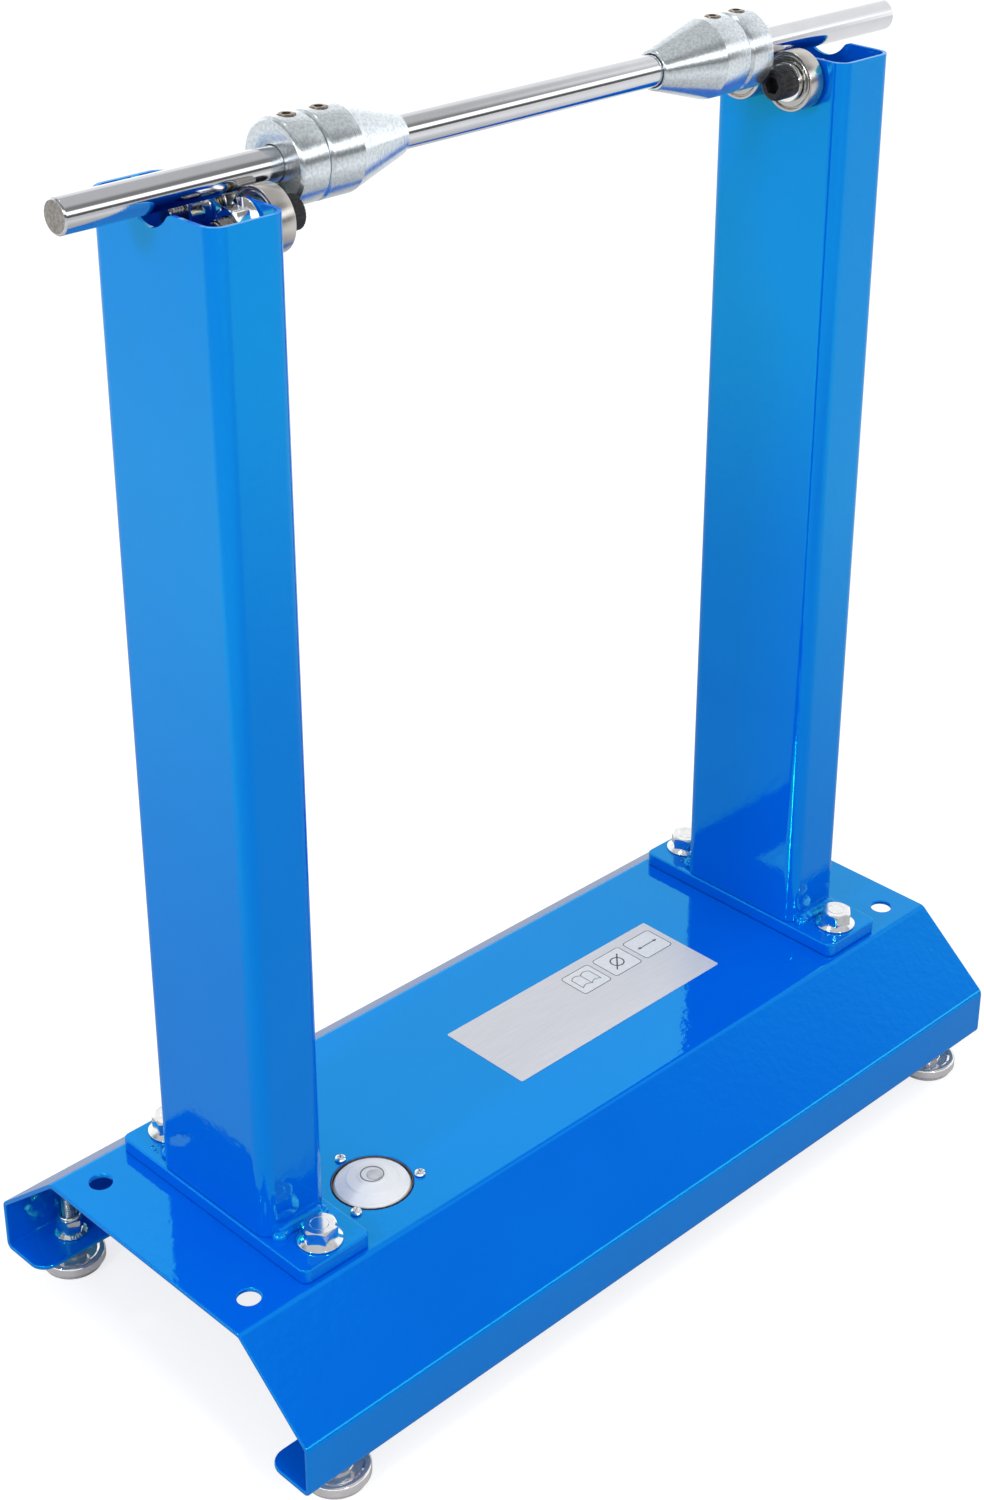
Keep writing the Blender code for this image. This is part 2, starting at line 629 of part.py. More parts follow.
def flange_bolt():
    """A flange bolt standing on its seat at zero, with its shank down through the joint into its nut."""
    corner = M10_HEX_WIDTH / cos(pi / 6) / 2
    low_corner = POST_BOLT_HEAD_HEIGHT - POST_BOLT_HEAD_CHAMFER
    crown = corner - 2 * POST_BOLT_HEAD_CHAMFER
    dome = turned([(0, POST_BOLT_HEAD_HEIGHT), (crown, POST_BOLT_HEAD_HEIGHT), (corner, low_corner),
                   (corner + CUT_OVERRUN, low_corner), (corner + CUT_OVERRUN, 0), (0, 0)], FASTENER_SIDES)
    head = combined(hexagon(M10_HEX_WIDTH, 0, POST_BOLT_HEAD_HEIGHT), dome, "INTERSECT")
    head = combined(head, flange(M10_FLANGE_DIAMETER, M10_FLANGE_THICKNESS, M10_HEX_WIDTH), "UNION")
    joint = SEAT_GAP + FOOT_PLATE_THICKNESS + SEAT_GAP + BASE_SHEET + SEAT_GAP
    end = joint + M10_NUT_HEIGHT + M10_THREAD_PAST_NUT
    bolt = combined(head, pin(M10_DIAMETER, -end, M10_FLANGE_THICKNESS, THREAD_SIDES), "UNION")
    nut = m10_nut()
    nut.transform(Matrix.Translation((0, 0, -joint)) @ Matrix.Rotation(pi, 4, "X"))
    return combined(bolt, nut, "UNION")


def build_foot_plates():
    """The posts' foot plates and the bolts that hold them to the base."""
    welded = foot_plate()
    for name, side in SIDES.items():
        add_part(name + "_foot_plate", welded.copy(), "blue_paint", Matrix.Translation((side * POST_X, 0, 0)))
    bolt = flange_bolt()
    seat = Vector((0, 0, FOOT_PLATE_TOP_Z + SEAT_GAP))
    for name, place in corners(POST_X, POST_BOLT_Y).items():
        add_part(name + "_post_bolt", bolt.copy(), "bright_zinc", Matrix.Translation(place + seat))


def build_axle():
    """The axle shaft, on the pivot that the cones and collars share."""
    radius, half = AXLE_DIAMETER / 2, AXLE_LENGTH / 2
    profile = [(0, half), (radius - AXLE_CHAMFER, half), (radius, half - AXLE_CHAMFER),
               (radius, AXLE_CHAMFER - half), (radius - AXLE_CHAMFER, -half), (0, -half)]
    frame = towards_wheel(-1, 0, AXLE_Z, 0)
    pivot = add_pivot("axle_pivot", frame)
    add_part("axle_shaft", turned(profile, AXLE_SIDES), "ground_steel", frame, pivot)
    return pivot


def collar():
    """A clamping collar from its outer face at zero towards the cone."""
    bore, radius = AXLE_DIAMETER / 2 + SEAT_GAP, COLLAR_DIAMETER / 2
    profile = [(bore, COLLAR_LENGTH), (radius - COLLAR_CHAMFER, COLLAR_LENGTH),
               (radius, COLLAR_LENGTH - COLLAR_CHAMFER), (radius, COLLAR_CHAMFER),
               (radius - COLLAR_CHAMFER, 0), (bore, 0)]
    return turned(profile, COLLAR_SIDES, ring=True)


def cone():
    """A centring cone from its collar's side at zero to its tip."""
    bore, radius, tip = AXLE_DIAMETER / 2 + SEAT_GAP, COLLAR_DIAMETER / 2, CONE_TIP_DIAMETER / 2
    length = CONE_CYLINDER_LENGTH + CONE_TAPER_LENGTH
    profile = [(bore, length), (tip - CONE_TIP_CHAMFER, length), (tip, length - CONE_TIP_CHAMFER),
               (radius, CONE_CYLINDER_LENGTH), (radius, COLLAR_CHAMFER), (radius - COLLAR_CHAMFER, 0), (bore, 0)]
    return turned(profile, COLLAR_SIDES, ring=True)


def set_screw():
    """A set screw with a hexagon socket, by its height above the axle's centre line."""
    radius, low = SET_SCREW_DIAMETER / 2, AXLE_DIAMETER / 2 + SEAT_GAP
    high = COLLAR_DIAMETER / 2 + SET_SCREW_PROUD
    blank = turned([(0, high), (radius - SET_SCREW_CHAMFER, high), (radius, high - SET_SCREW_CHAMFER),
                    (radius, low), (0, low)], THREAD_SIDES)
    socket = hexagon(SET_SCREW_HEX_WIDTH, high - SET_SCREW_SOCKET_DEPTH, high + CUT_OVERRUN)
    return combined(blank, socket, "DIFFERENCE")


def build_clamp_screw(name, owner, mesh, x, pivot):
    """A set screw, and its hole in the cone or collar that it clamps."""
    place = Matrix.Translation((x, 0, AXLE_Z))
    hole = pin(SET_SCREW_DIAMETER + 2 * SEAT_GAP, 0, COLLAR_DIAMETER / 2 + CUT_OVERRUN, THREAD_SIDES)
    add_cut(owner, name + "_hole", hole, place, pivot)
    add_part(name, mesh, "black_oxide", place, owner)


def build_cones(pivot):
    """Both cones and collars with their set screws."""
    screw = set_screw()
    for name, side in SIDES.items():
        ring = add_part(name + "_collar", collar(), "turned_zinc", towards_wheel(side, 0, AXLE_Z, COLLAR_X), pivot)
        ring_x = side * (COLLAR_X - COLLAR_LENGTH / 2)
        build_clamp_screw(name + "_collar_screw", ring, screw.copy(), ring_x, pivot)
        taper = add_part(name + "_cone", cone(), "turned_zinc", towards_wheel(side, 0, AXLE_Z, CONE_X), pivot)
        taper_x = side * (CONE_X - CONE_CYLINDER_LENGTH / 2)
        build_clamp_screw(name + "_cone_screw", taper, screw.copy(), taper_x, pivot)


def groove(direction):
    """The raceway's points across one ring: an arc that clears the balls, on the ring's side of the pitch circle."""
    pitch = (INNER_SHOULDER_DIAMETER + OUTER_SHOULDER_DIAMETER) / 4
    shoulder = (OUTER_SHOULDER_DIAMETER - INNER_SHOULDER_DIAMETER) / 4
    radius = BALL_DIAMETER / 2 + BALL_GAP
    half = acos(shoulder / radius)
    turns = [half, 0, -half]
    return [(pitch + direction * radius * cos(turn), radius * sin(turn)) for turn in turns]


def outer_ring():
    """A bearing's outer ring with both shields pressed into it, closed round the raceway but for a slit."""
    radius, half = BEARING_DIAMETER / 2, BEARING_WIDTH / 2
    shoulder = OUTER_SHOULDER_DIAMETER / 2
    slit = INNER_SHOULDER_DIAMETER / 2 + SEAT_GAP
    face = half - SHIELD_RECESS
    back = face - SHIELD_THICKNESS
    outside = [(slit, face), (shoulder + SHIELD_RIM_WIDTH, face), (shoulder + SHIELD_RIM_WIDTH, half),
               (radius - BEARING_CHAMFER, half), (radius, half - BEARING_CHAMFER)]
    inside = [(slit, -back), (shoulder, -back), *reversed(groove(1)), (shoulder, back), (slit, back)]
    mirrored = [(r, -z) for r, z in reversed(outside)]
    return turned([*outside, *mirrored, *inside], BEARING_SIDES, ring=True)


def inner_ring():
    """A bearing's inner ring, with its raceway."""
    bore, half = BEARING_BORE / 2, BEARING_WIDTH / 2
    shoulder = INNER_SHOULDER_DIAMETER / 2
    profile = [(bore, half), (shoulder, half), *groove(-1), (shoulder, -half), (bore, -half)]
    return turned(profile, INNER_RING_SIDES, ring=True)


def ball_cage():
    """A bearing's balls, on the ribbon that runs straight from one to the next."""
    pitch = (INNER_SHOULDER_DIAMETER + OUTER_SHOULDER_DIAMETER) / 4
    inside, outside, half = pitch - CAGE_WIDTH / 2, pitch + CAGE_WIDTH / 2, CAGE_HEIGHT / 2
    ribbon = turned([(inside, half), (outside, half), (outside, -half), (inside, -half)], BALL_COUNT, ring=True)
    shape = bmesh.new()
    for index in range(BALL_COUNT):
        place = Matrix.Rotation(2 * pi * index / BALL_COUNT, 4, "Z") @ Matrix.Translation((pitch, 0, 0))
        bmesh.ops.create_uvsphere(shape, u_segments=BALL_SEGMENTS, v_segments=BALL_RINGS,
                                  radius=BALL_DIAMETER / 2, matrix=place)
    balls = bpy.data.meshes.new("balls")
    shape.to_mesh(balls)
    shape.free()
    return combined(ribbon, balls, "UNION")


def build_bearings():
    """The four ball bearings, each on the pivot of its outer ring."""
    meshes = {"outer_ring": outer_ring(), "inner_ring": inner_ring(), "ball_cage": ball_cage()}
    middle = Matrix.Translation((0, 0, BEARING_FROM_POST + BEARING_WIDTH / 2))
    for name, frame in bearing_frames().items():
        pivot = add_pivot(name + "_bearing_pivot", frame @ middle)
        for piece, mesh in meshes.items():
            add_part(name + "_" + piece, mesh.copy(), "bearing_steel", frame @ middle, pivot)


def stepped_bush():
    """A stepped bush from a post's face at zero: a thin flange, and a sleeve into the bearing's bore."""
    bore = M10_DIAMETER / 2 + SEAT_GAP
    sleeve = BEARING_BORE / 2 - SEAT_GAP
    low, step = SEAT_GAP, SEAT_GAP + BUSH_FLANGE_THICKNESS
    high = BEARING_FROM_POST + BEARING_WIDTH
    profile = [(bore, high), (sleeve, high), (sleeve, step), (BUSH_FLANGE_DIAMETER / 2, step),
               (BUSH_FLANGE_DIAMETER / 2, low), (bore, low)]
    return turned(profile, FASTENER_SIDES, ring=True)


def bearing_screw():
    """A socket head screw with its washer, down through the bearing and the post's wall past the nut."""
    washer_low, washer_high, high = HEAD_WASHER_FROM_POST, SCREW_HEAD_FROM_POST, SCREW_HEAD_END_FROM_POST
    end = -(POST_WALL + SEAT_GAP + M10_NUT_HEIGHT + SCREW_THREAD_PAST_NUT)
    head, washer, shank = SCREW_HEAD_DIAMETER / 2, HEAD_WASHER_DIAMETER / 2, M10_DIAMETER / 2
    profile = [(0, high), (head - SCREW_HEAD_CHAMFER, high), (head, high - SCREW_HEAD_CHAMFER),
               (head, washer_high), (washer, washer_high), (washer, washer_low), (shank, washer_low),
               (shank, end), (0, end)]
    socket = hexagon(SCREW_SOCKET_WIDTH, high - SCREW_SOCKET_DEPTH, high + CUT_OVERRUN)
    return combined(turned(profile, FASTENER_SIDES), socket, "DIFFERENCE")


def build_bearing_mountings():
    """What holds the bearings on the posts: bushes, screws with their washers, and nuts inside the tubes."""
    bush, screw = stepped_bush(), bearing_screw()
    nut = threaded(m10_nut(), M10_NUT_HEIGHT, M10_DIAMETER)
    inside_tube = Matrix.Translation((0, 0, -POST_WALL - SEAT_GAP)) @ Matrix.Rotation(pi, 4, "X")
    for name, frame in bearing_frames().items():
        add_part(name + "_stepped_bush", bush.copy(), "yellow_zinc", frame)
        add_part(name + "_bearing_screw", screw.copy(), "black_oxide", frame)
        add_part(name + "_bearing_nut", nut.copy(), "bright_zinc", frame @ inside_tube)


def level_screw():
    """A small pan-head screw from its seat on the sheet down through the level's flange."""
    seat = BASE_TOP_Z + SEAT_GAP
    top = seat + M3_HEAD_HEIGHT
    head, shank = M3_HEAD_DIAMETER / 2, M3_DIAMETER / 2
    end = LEVEL_FLANGE_Z - M3_THREAD_PAST_FLANGE
    profile = [(0, top), (head / 2, top), (head, seat + M3_HEAD_HEIGHT / 2), (head, seat), (shank, seat),
               (shank, end), (0, end)]
    return turned(profile, SMALL_SIDES)


def level_housing():
    """The level's cup, which stands up through the sheet, its flange under the sheet and the screws in it."""
    radius, flange_radius = LEVEL_DIAMETER / 2, LEVEL_FLANGE_DIAMETER / 2
    inside = radius - LEVEL_WALL
    flange_top = LEVEL_FLANGE_Z + LEVEL_FLANGE_THICKNESS
    floor = BASE_TOP_Z - LEVEL_DEPTH
    profile = [(0, floor), (inside, floor), (inside, BASE_TOP_Z), (radius, BASE_TOP_Z), (radius, flange_top),
               (flange_radius, flange_top), (flange_radius, LEVEL_FLANGE_Z), (radius, LEVEL_FLANGE_Z),
               (radius, floor - LEVEL_FLOOR), (0, floor - LEVEL_FLOOR)]
    cup = turned(profile, LEVEL_SIDES)
    cup.transform(Matrix.Translation((LEVEL_X, LEVEL_Y, 0)))
    return combined(cup, copies(level_screw(), level_screw_places()), "UNION")


def level_lens():
    """The level's clear cap, hollow below for the liquid, with a domed ceiling."""
    radius, inside = LEVEL_DIAMETER / 2, LEVEL_DIAMETER / 2 - LEVEL_WALL
    low = BASE_TOP_Z + SEAT_GAP
    high = low + LEVEL_LENS_HEIGHT
    ceiling = high - LEVEL_LENS_THICKNESS
    edge = corner_arc((0, high), (radius, high), (radius, low), LEVEL_LENS_EDGE_RADIUS, FOLD_STEPS)
    profile = [(0, high), *edge, (radius, low), (inside, low), (inside, ceiling - LEVEL_LENS_DOME),
               (inside / 2, ceiling - LEVEL_LENS_DOME / 4), (0, ceiling)]
    lens = turned(profile, LEVEL_SIDES)
    lens.transform(Matrix.Translation((LEVEL_X, LEVEL_Y, 0)))
    return lens


def build_level():
    """The bull's-eye level: its screwed-on housing and its lens."""
    add_part("level_housing", level_housing(), "level_white")
    add_part("level_lens", level_lens(), "level_clear")


def foot():
    """A foot's threaded stud with its dished, rolled cap and raised hub."""
    stud, cap = STUD_DIAMETER / 2, CAP_DIAMETER / 2
    hub, dish = CAP_HUB_DIAMETER / 2, CAP_DISH_DIAMETER / 2
    dish_z = FOOT_CAP_TOP_Z - CAP_DISH_DEPTH
    recess = PAD_SPIGOT_DIAMETER / 2 + SEAT_GAP
    recess_z = PAD_RIM_HEIGHT + PAD_SPIGOT_HEIGHT + SEAT_GAP
    rim = corner_arc((dish, FOOT_CAP_TOP_Z), (cap, FOOT_CAP_TOP_Z), (cap, FOOT_CAP_BASE_Z), CAP_ROUNDING, 2)
    profile = [(0, STUD_TOP_Z), (stud - STUD_CHAMFER, STUD_TOP_Z), (stud, STUD_TOP_Z - STUD_CHAMFER),
               (stud, FOOT_HUB_TOP_Z), (hub, FOOT_HUB_TOP_Z), (hub, dish_z), (dish, dish_z), *rim,
               (cap, FOOT_CAP_BASE_Z), (recess, FOOT_CAP_BASE_Z), (recess, recess_z), (0, recess_z)]
    return turned(profile, FOOT_SIDES)


def foot_pad():
    """A foot's pad, with a spigot that sits in the cap."""
    radius, spigot = PAD_DIAMETER / 2, PAD_SPIGOT_DIAMETER / 2
    top = PAD_RIM_HEIGHT + PAD_SPIGOT_HEIGHT
    profile = [(0, top), (spigot, top), (spigot, PAD_RIM_HEIGHT), (radius, PAD_RIM_HEIGHT),
               (radius, PAD_EDGE_RADIUS), (radius - PAD_EDGE_RADIUS, 0), (0, 0)]
    return turned(profile, FOOT_SIDES)


def build_feet():
    """The four feet with their pads, and the nuts above and below the base's flanges."""
    stud_and_cap, pad = foot(), foot_pad()
    blank = flange_nut(M8_HEX_WIDTH, M8_NUT_HEIGHT, M8_FLANGE_DIAMETER, M8_FLANGE_THICKNESS, THREAD_SIDES)
    nut = threaded(blank, M8_NUT_HEIGHT, STUD_DIAMETER)
    above = Matrix.Translation((0, 0, FOOT_NUT_SEAT_Z))
    below = Matrix.Translation((0, 0, BASE_UNDERSIDE_Z - SEAT_GAP)) @ Matrix.Rotation(pi, 4, "X")
    for name, spot in corners(FOOT_X, FOOT_Y).items():
        place = Matrix.Translation(spot)
        pivot = add_pivot(name + "_foot_pivot", place)
        add_part(name + "_foot", stud_and_cap.copy(), "chrome", place, pivot)
        add_part(name + "_foot_pad", pad.copy(), "grey_plastic", place, pivot)
        add_part(name + "_foot_upper_nut", nut.copy(), "bright_zinc", place @ above)
        add_part(name + "_foot_lower_nut", nut.copy(), "bright_zinc", place @ below)


clear_scene()
PARTS = new_collection("motorcycle_wheel_balancer")
CUTTERS = new_collection("cutters")
build_base()
for side_name, side_sign in SIDES.items():
    build_post(side_name, side_sign)
build_foot_plates()
build_bearings()
build_bearing_mountings()
build_cones(build_axle())
build_level()
build_feet()
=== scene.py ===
"""Looks of the motorcycle wheel balancer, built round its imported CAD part.

X runs along the axle, -Y is the front and +Z is up. All lengths are in metres, and left is the -X end. A
turned piece is made about its own Z axis and then placed, so that one finish suits every turned piece.
"""
import random
from math import acos, atan2, cos, pi, sin, sqrt, tan

import bmesh
import bpy
from mathutils import Matrix, Vector


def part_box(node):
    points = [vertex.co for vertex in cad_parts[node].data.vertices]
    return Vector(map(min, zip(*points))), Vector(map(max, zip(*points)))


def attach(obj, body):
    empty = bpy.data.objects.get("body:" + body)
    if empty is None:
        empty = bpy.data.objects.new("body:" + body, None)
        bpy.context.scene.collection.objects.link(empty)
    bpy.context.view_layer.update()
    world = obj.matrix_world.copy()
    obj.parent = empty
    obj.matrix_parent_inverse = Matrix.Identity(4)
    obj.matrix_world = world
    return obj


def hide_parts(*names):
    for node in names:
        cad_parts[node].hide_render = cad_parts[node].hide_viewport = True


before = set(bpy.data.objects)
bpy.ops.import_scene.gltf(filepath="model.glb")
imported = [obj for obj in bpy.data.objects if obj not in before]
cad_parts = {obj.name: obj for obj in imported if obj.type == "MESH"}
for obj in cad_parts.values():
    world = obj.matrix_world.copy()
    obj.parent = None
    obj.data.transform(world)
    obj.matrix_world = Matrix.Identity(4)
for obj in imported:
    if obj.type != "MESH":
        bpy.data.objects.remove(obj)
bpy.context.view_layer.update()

# Base sheet
SHEET = 0.0025
TOP_HALF_WIDTH = 0.077
SLOPE_DROP = 0.040
FLANGE_WIDTH = 0.032
FOLD_RADIUS = 0.005
FLANGE_FOLD_RADIUS = 0.004
FLANGE_CORNER_RADIUS = 0.020
FIXING_HOLE_DIAMETER = 0.012
FIXING_HOLE_TO_END = 0.020
FIXING_HOLE_TO_FOLD = 0.017
CUT_OVERRUN = 0.004
SEAT_GAP = 0.0003

# Posts and foot plates
POST_WALL = 0.002
POST_CORNER_RADIUS = 0.0080
POST_PAST_CAD = 0.0030
PLATE_PAST_CAD = 0.0015
NOTCH_RADIUS = 0.0150
NOTCH_DEPTH = 0.0082
NOTCH_LIP_RADIUS = 0.0050
PLATE_CORNER_RADIUS = 0.0045
PAINTED_EDGE = 0.0011
PLATE_EDGE_STEPS = 3
TUBE_EDGE = 0.0005
WELD_RADIUS = 0.0048
WELD_RIPPLES = 6
WELD_POINTS_PER_RIPPLE = 6
WELD_RIPPLE_SHARE = 0.025
WELD_UNEVEN_SHARE = 0.01
WELD_END_SHARE = 0.35
WELD_END_SLOPE = 6
WELD_SWAY = 0.0004
WELD_SWAY_TURN = 7
WELD_LUMPS = ((-0.80, 0.0040), (-0.10, 0.0030), (0.90, 0.0032))
WELD_LUMP_FROM_POST = 0.0018
WELD_LUMP_RISE = 0.0006
WELD_LUMP_HEIGHT_SHARE = 0.9
SPATTER = 8
SPATTER_FROM_POST = (0.006, 0.014)
SPATTER_RADIUS = (0.0005, 0.0013)
SPATTER_HEIGHT_SHARE = (0.5, 0.9)
WELD_SEEDS = {"left": 7, "right": 11}

# Fasteners
M10 = 0.010
M10_PITCH = 0.0015
M10_HEX = 0.0168
M10_FLANGE = 0.0232
M10_NUT_HEIGHT = 0.010
M8 = 0.008
M8_PITCH = 0.00125
M8_HEX = 0.013
M8_FLANGE = 0.0179
M8_NUT_HEIGHT = 0.008
FOOT_NUT_HEX_HEIGHT = 0.0105
FOOT_NUT_COLLAR = 0.0118
FOOT_NUT_HEIGHT = 0.0124
FOOT_NUT_COLLAR_DEPTH = 0.001
FOOT_NUT_COLLAR_EDGE = 0.0005
NUT_TEETH = 0.0002
NUT_CROWN_SHARE = 0.96
FLANGE_RIM = 0.0010
FLANGE_RISE = 0.0030
BOLT_HEAD_HEIGHT = 0.0098
BOLT_CROWN_SHARE = 0.94
BOLT_DISH = ((0, -0.0003), (0.0042, -0.0003), (0.0047, 0.0001), (0.0052, -0.0001))
BOLT_THREAD_PAST_NUT = 0.003
HEX_EDGE = 0.00025
FINE_EDGE = 0.0002
SOCKET_HEAD = 0.016
SOCKET_HEAD_HEIGHT = 0.010
SOCKET_HEAD_TAPER = 0.0012
SOCKET_HEAD_CHAMFER = 0.0010
SOCKET_HEAD_EDGE = 0.0003
SOCKET_WIDTH = 0.008
SOCKET_DEPTH = 0.005
KNURL_DEPTH = 0.00022
KNURL_SIDES = 128
WASHER = 0.020
WASHER_THICKNESS = 0.002
WASHER_EDGE = 0.0003
SCREW_THREAD_PAST_NUT = 0.007

# Bearings and bushes
BEARING = 0.031
BEARING_BORE = 0.012
BEARING_WIDTH = 0.010
BEARING_EDGE = 0.0005
INNER_SHOULDER = 0.017
OUTER_SHOULDER = 0.0275
INNER_RING_EDGE = 0.0004
SHIELD_RECESS = 0.0005
SHIELD_THICKNESS = 0.0004
SHIELD_STEP = 0.0009
SHIELD_DISH = 0.0003
SHIELD_OVERLAP = 0.0001
SHIELD_EDGE = 0.0001
BUSH_FLANGE = 0.020
BUSH_FLANGE_THICKNESS = 0.0015
RING_FROM_POST = SEAT_GAP + BUSH_FLANGE_THICKNESS + SEAT_GAP

# Axle, cones and collars
AXLE = 0.016
AXLE_CHAMFER = 0.0008
SAWN_END_MARGIN = 0.0002
SAWN_END_DEPTH = 0.0001
SAWN_END_RISE = 0.00005
COLLAR = 0.040
COLLAR_CHAMFER = 0.0014
CONE_CYLINDER = 0.0185
CONE_TIP = 0.020
CONE_TIP_CHAMFER = 0.0006
TURNED_EDGE = 0.0004
SET_SCREW = 0.008
SET_SCREW_CHAMFER = 0.0006
SET_SCREW_HEX = 0.004
SET_SCREW_DEPTH = 0.004

# Spirit level. Its cone and lens are in reach from its middle and height above the base.
LEVEL = 0.042
LEVEL_FLANGE = 0.058
LEVEL_FLANGE_THICKNESS = 0.002
LEVEL_ROUNDING = 0.0012
LEVEL_ROUNDING_STEPS = 6
# A thin dark ring of painted shade stands inside the hole's far wall, which lies in shadow under the lens
LEVEL_SHADE_RING_WALL = 0.0004
LEVEL_SHADE_RING_EDGE = 0.0001
LEVEL_CONE = ((0.0, 0.0052), (0.0074, 0.0052), (0.0080, 0.0046), (0.0132, 0.0034), (0.0140, 0.0026),
              (0.0192, 0.0002), (0.0203, -0.0016))
LENS = ((0, 0.0062), (0.0080, 0.0062), (0.0140, 0.0044), (0.0186, 0.0012), (0.0186, -0.0010), (0, -0.0010))
LEVEL_RING = 0.0124
LEVEL_RING_LINE = 0.00055
LEVEL_RING_HEIGHT = 0.0003
LEVEL_RING_EDGE = 0.00004
BUBBLE = 0.0078
BUBBLE_HEIGHT = 0.0008
BUBBLE_ROUNDING = 0.0004
BUBBLE_ROUNDING_STEPS = 5
# The bubble's dark rim is painted shade: a grey ring standing in for the shade its curved edge shows
BUBBLE_RIM_SHADE_HEIGHT = 0.0002
BUBBLE_OFF_CENTRE = Vector((0.0004, -0.0012, 0))
LEVEL_SCREW_TURNS = (pi / 2, -pi / 6, -5 * pi / 6)
LEVEL_SCREW_TWIST_PER_X = 90
M3 = 0.003
M3_PITCH = 0.0005
M3_THREAD_PAST_FLANGE = 0.002
M3_HEAD = 0.0060
M3_HEAD_HEIGHT = 0.0022
M3_HEAD_EDGE = 0.0005
M3_HEAD_EDGE_STEPS = 4
M3_HEAD_SHARES = ((0, 1), (0.45, 0.97), (0.85, 0.68), (1, 0.3), (1, 0), (0, 0))
M3_CROSS_LENGTH = 0.0036
M3_CROSS_WIDTH = 0.0008
M3_CROSS_FLOOR_SHARE = 0.3

# Information plate, bare but for three pictograms
PLATE_LOW = (-0.033, -0.0315)
PLATE_HIGH = (0.128, 0.0285)
PLATE_THICKNESS = 0.0003
PLATE_SINK = 0.00002
PLATE_CORNER = 0.0010
PLATE_EDGE = 0.00008
INK = 0.00006
BOX_FIRST = (0.0500, 0.0010)
BOX_SIZE = (0.0224, 0.0208)
BOX_PITCH = 0.0258
BOX_CORNER = 0.0022
INK_LINE = 0.00045
BOOK_PAGE = 0.0072
BOOK_HEIGHT = 0.0096
BOOK_RISE = 0.0016
BOOK_STEPS = 5
CIRCLE_SIZE = 0.0090
SLASH_SHARE = 0.6
ARROW_REACH = 0.0082
ARROW_HEAD = 0.0028
ARROW_BARB_SHARE = 0.4
ARROW_LINE = 1.5 * INK_LINE

# Feet
CAP = 0.0350
CAP_HEIGHT = 0.0052
CAP_DISH = 0.0274
CAP_DISH_DEPTH = 0.0008
CAP_HUB = 0.0172
CAP_HUB_HEIGHT = 0.0012
CAP_HUB_CHAMFER = 0.0003
CAP_DISH_SLOPE = 0.0006
CAP_ROUNDING = 0.0017
CAP_ROUNDING_STEPS = 8
STUD_IN_HUB = 0.001
PAD_RIM = 0.0316
PAD_RIM_HEIGHT = 0.0032
PAD_SPIGOT = 0.0284
PAD_SPIGOT_HEIGHT = 0.0012
PAD_EDGE = 0.0008

# How far round its axis each kind of screw stands, by side and by row, so that no two look alike
TWISTS = {"post_bolt": (0.3, 0.6), "bearing_screw": (1, 0.5), "set_screw": (0.4, 0.3), "foot_nut": (0.7, 0.4)}

# Smoothness
FINE_SIDES = 96
ROUND_SIDES = 64
SMALL_SIDES = 32
COARSE_SIDES = 16
BEAD_SIDES = 12
HEX_STEPS = 8
EASE_STEPS = 3
FOLD_STEPS = 8
DROP_SUBDIVISIONS = 3
SMOOTH_ANGLE = pi / 6
HEX_SMOOTH_ANGLE = pi / 12
BEVEL_ANGLE = pi / 5
ARC_ROOM_SHARE = 0.49
THREAD_DEPTH_SHARE = 0.54
THREAD_END_SHARE = 0.25
WELD_DISTANCE = 0.000004

# The camera's place and view, worked out from the photograph's perspective
CAMERA_PLACE = Vector((-0.8033, -0.8137, 0.9146))
CAMERA_RIGHT = Vector((0.7005, -0.7135, 0.0131))
CAMERA_DOWN = Vector((-0.3066, -0.3175, -0.8973))
CAMERA_AHEAD = Vector((0.6444, 0.6246, -0.4412))
CAMERA_LENS = 59.56
CAMERA_SENSOR = 36
CAMERA_SHIFT = (-0.0559, -0.0943)
AHEAD_FLAT = Vector((CAMERA_AHEAD.x, CAMERA_AHEAD.y, 0)).normalized()

# The paint's mirror share of white light, by colour
PAINT_INDEX = 1.25
PAINT_MIRROR = (0.006, 0.19, 0.12)

# The floor: painted shade makes it grey near the object, where its shadow falls, and darker behind the
# camera; it is paler further off, with what makes it white to the camera and pale in mirrors
FLOOR_HALF_WIDTH = 9
FLOOR_THICKNESS = 0.02
FLOOR_ROUGHNESS = 0.9
FLOOR_CLOUD_SCALE = 3.0
FLOOR_CLOUD_LOW = 0.97
FLOOR_SEEN = 0.40
FLOOR_GLOW = 0.74
FLOOR_PAINTED_SHADE_NEAR = 0.34
FLOOR_FAR = 0.85
FLOOR_NEAR_REACH = 0.25
FLOOR_FAR_REACH = 1.10
FLOOR_DEPTH_SHARE = 0.6
FLOOR_MIRROR_GLOW = 0.18
FLOOR_PAINTED_SHADE_BEHIND = 0.62
FLOOR_BEHIND_START = -0.35
FLOOR_BEHIND_END = -0.80

# The studio, by the height of a direction: a white backdrop ahead of the camera, and behind it a dark room
# with a long softbox above the horizon. Matt surfaces get an even fill.
BACKDROP = [(0.0, 1.7), (0.24, 1.3), (0.44, 1.0), (0.64, 1.0), (0.74, 0.60)]
ROOM = [(0.14, 0.12), (0.22, 1.9), (0.40, 1.9), (0.48, 0.26), (0.68, 0.26), (0.80, 0.60)]
BEHIND_END = 0.05
BACKDROP_START = 0.35
MATT_FILL = 0.76
LIGHT_SIZE = 0.2
LIGHTS = {"overhead": ((-0.5, 0.5, 2.4), (0, 0, 0.2), 3.5), "left": ((-2.0, -0.2, 1.3), (0, 0, 0.5), 9),
          "front": ((-0.6, -2.4, 1.5), (0, 0, 0.5), 15)}

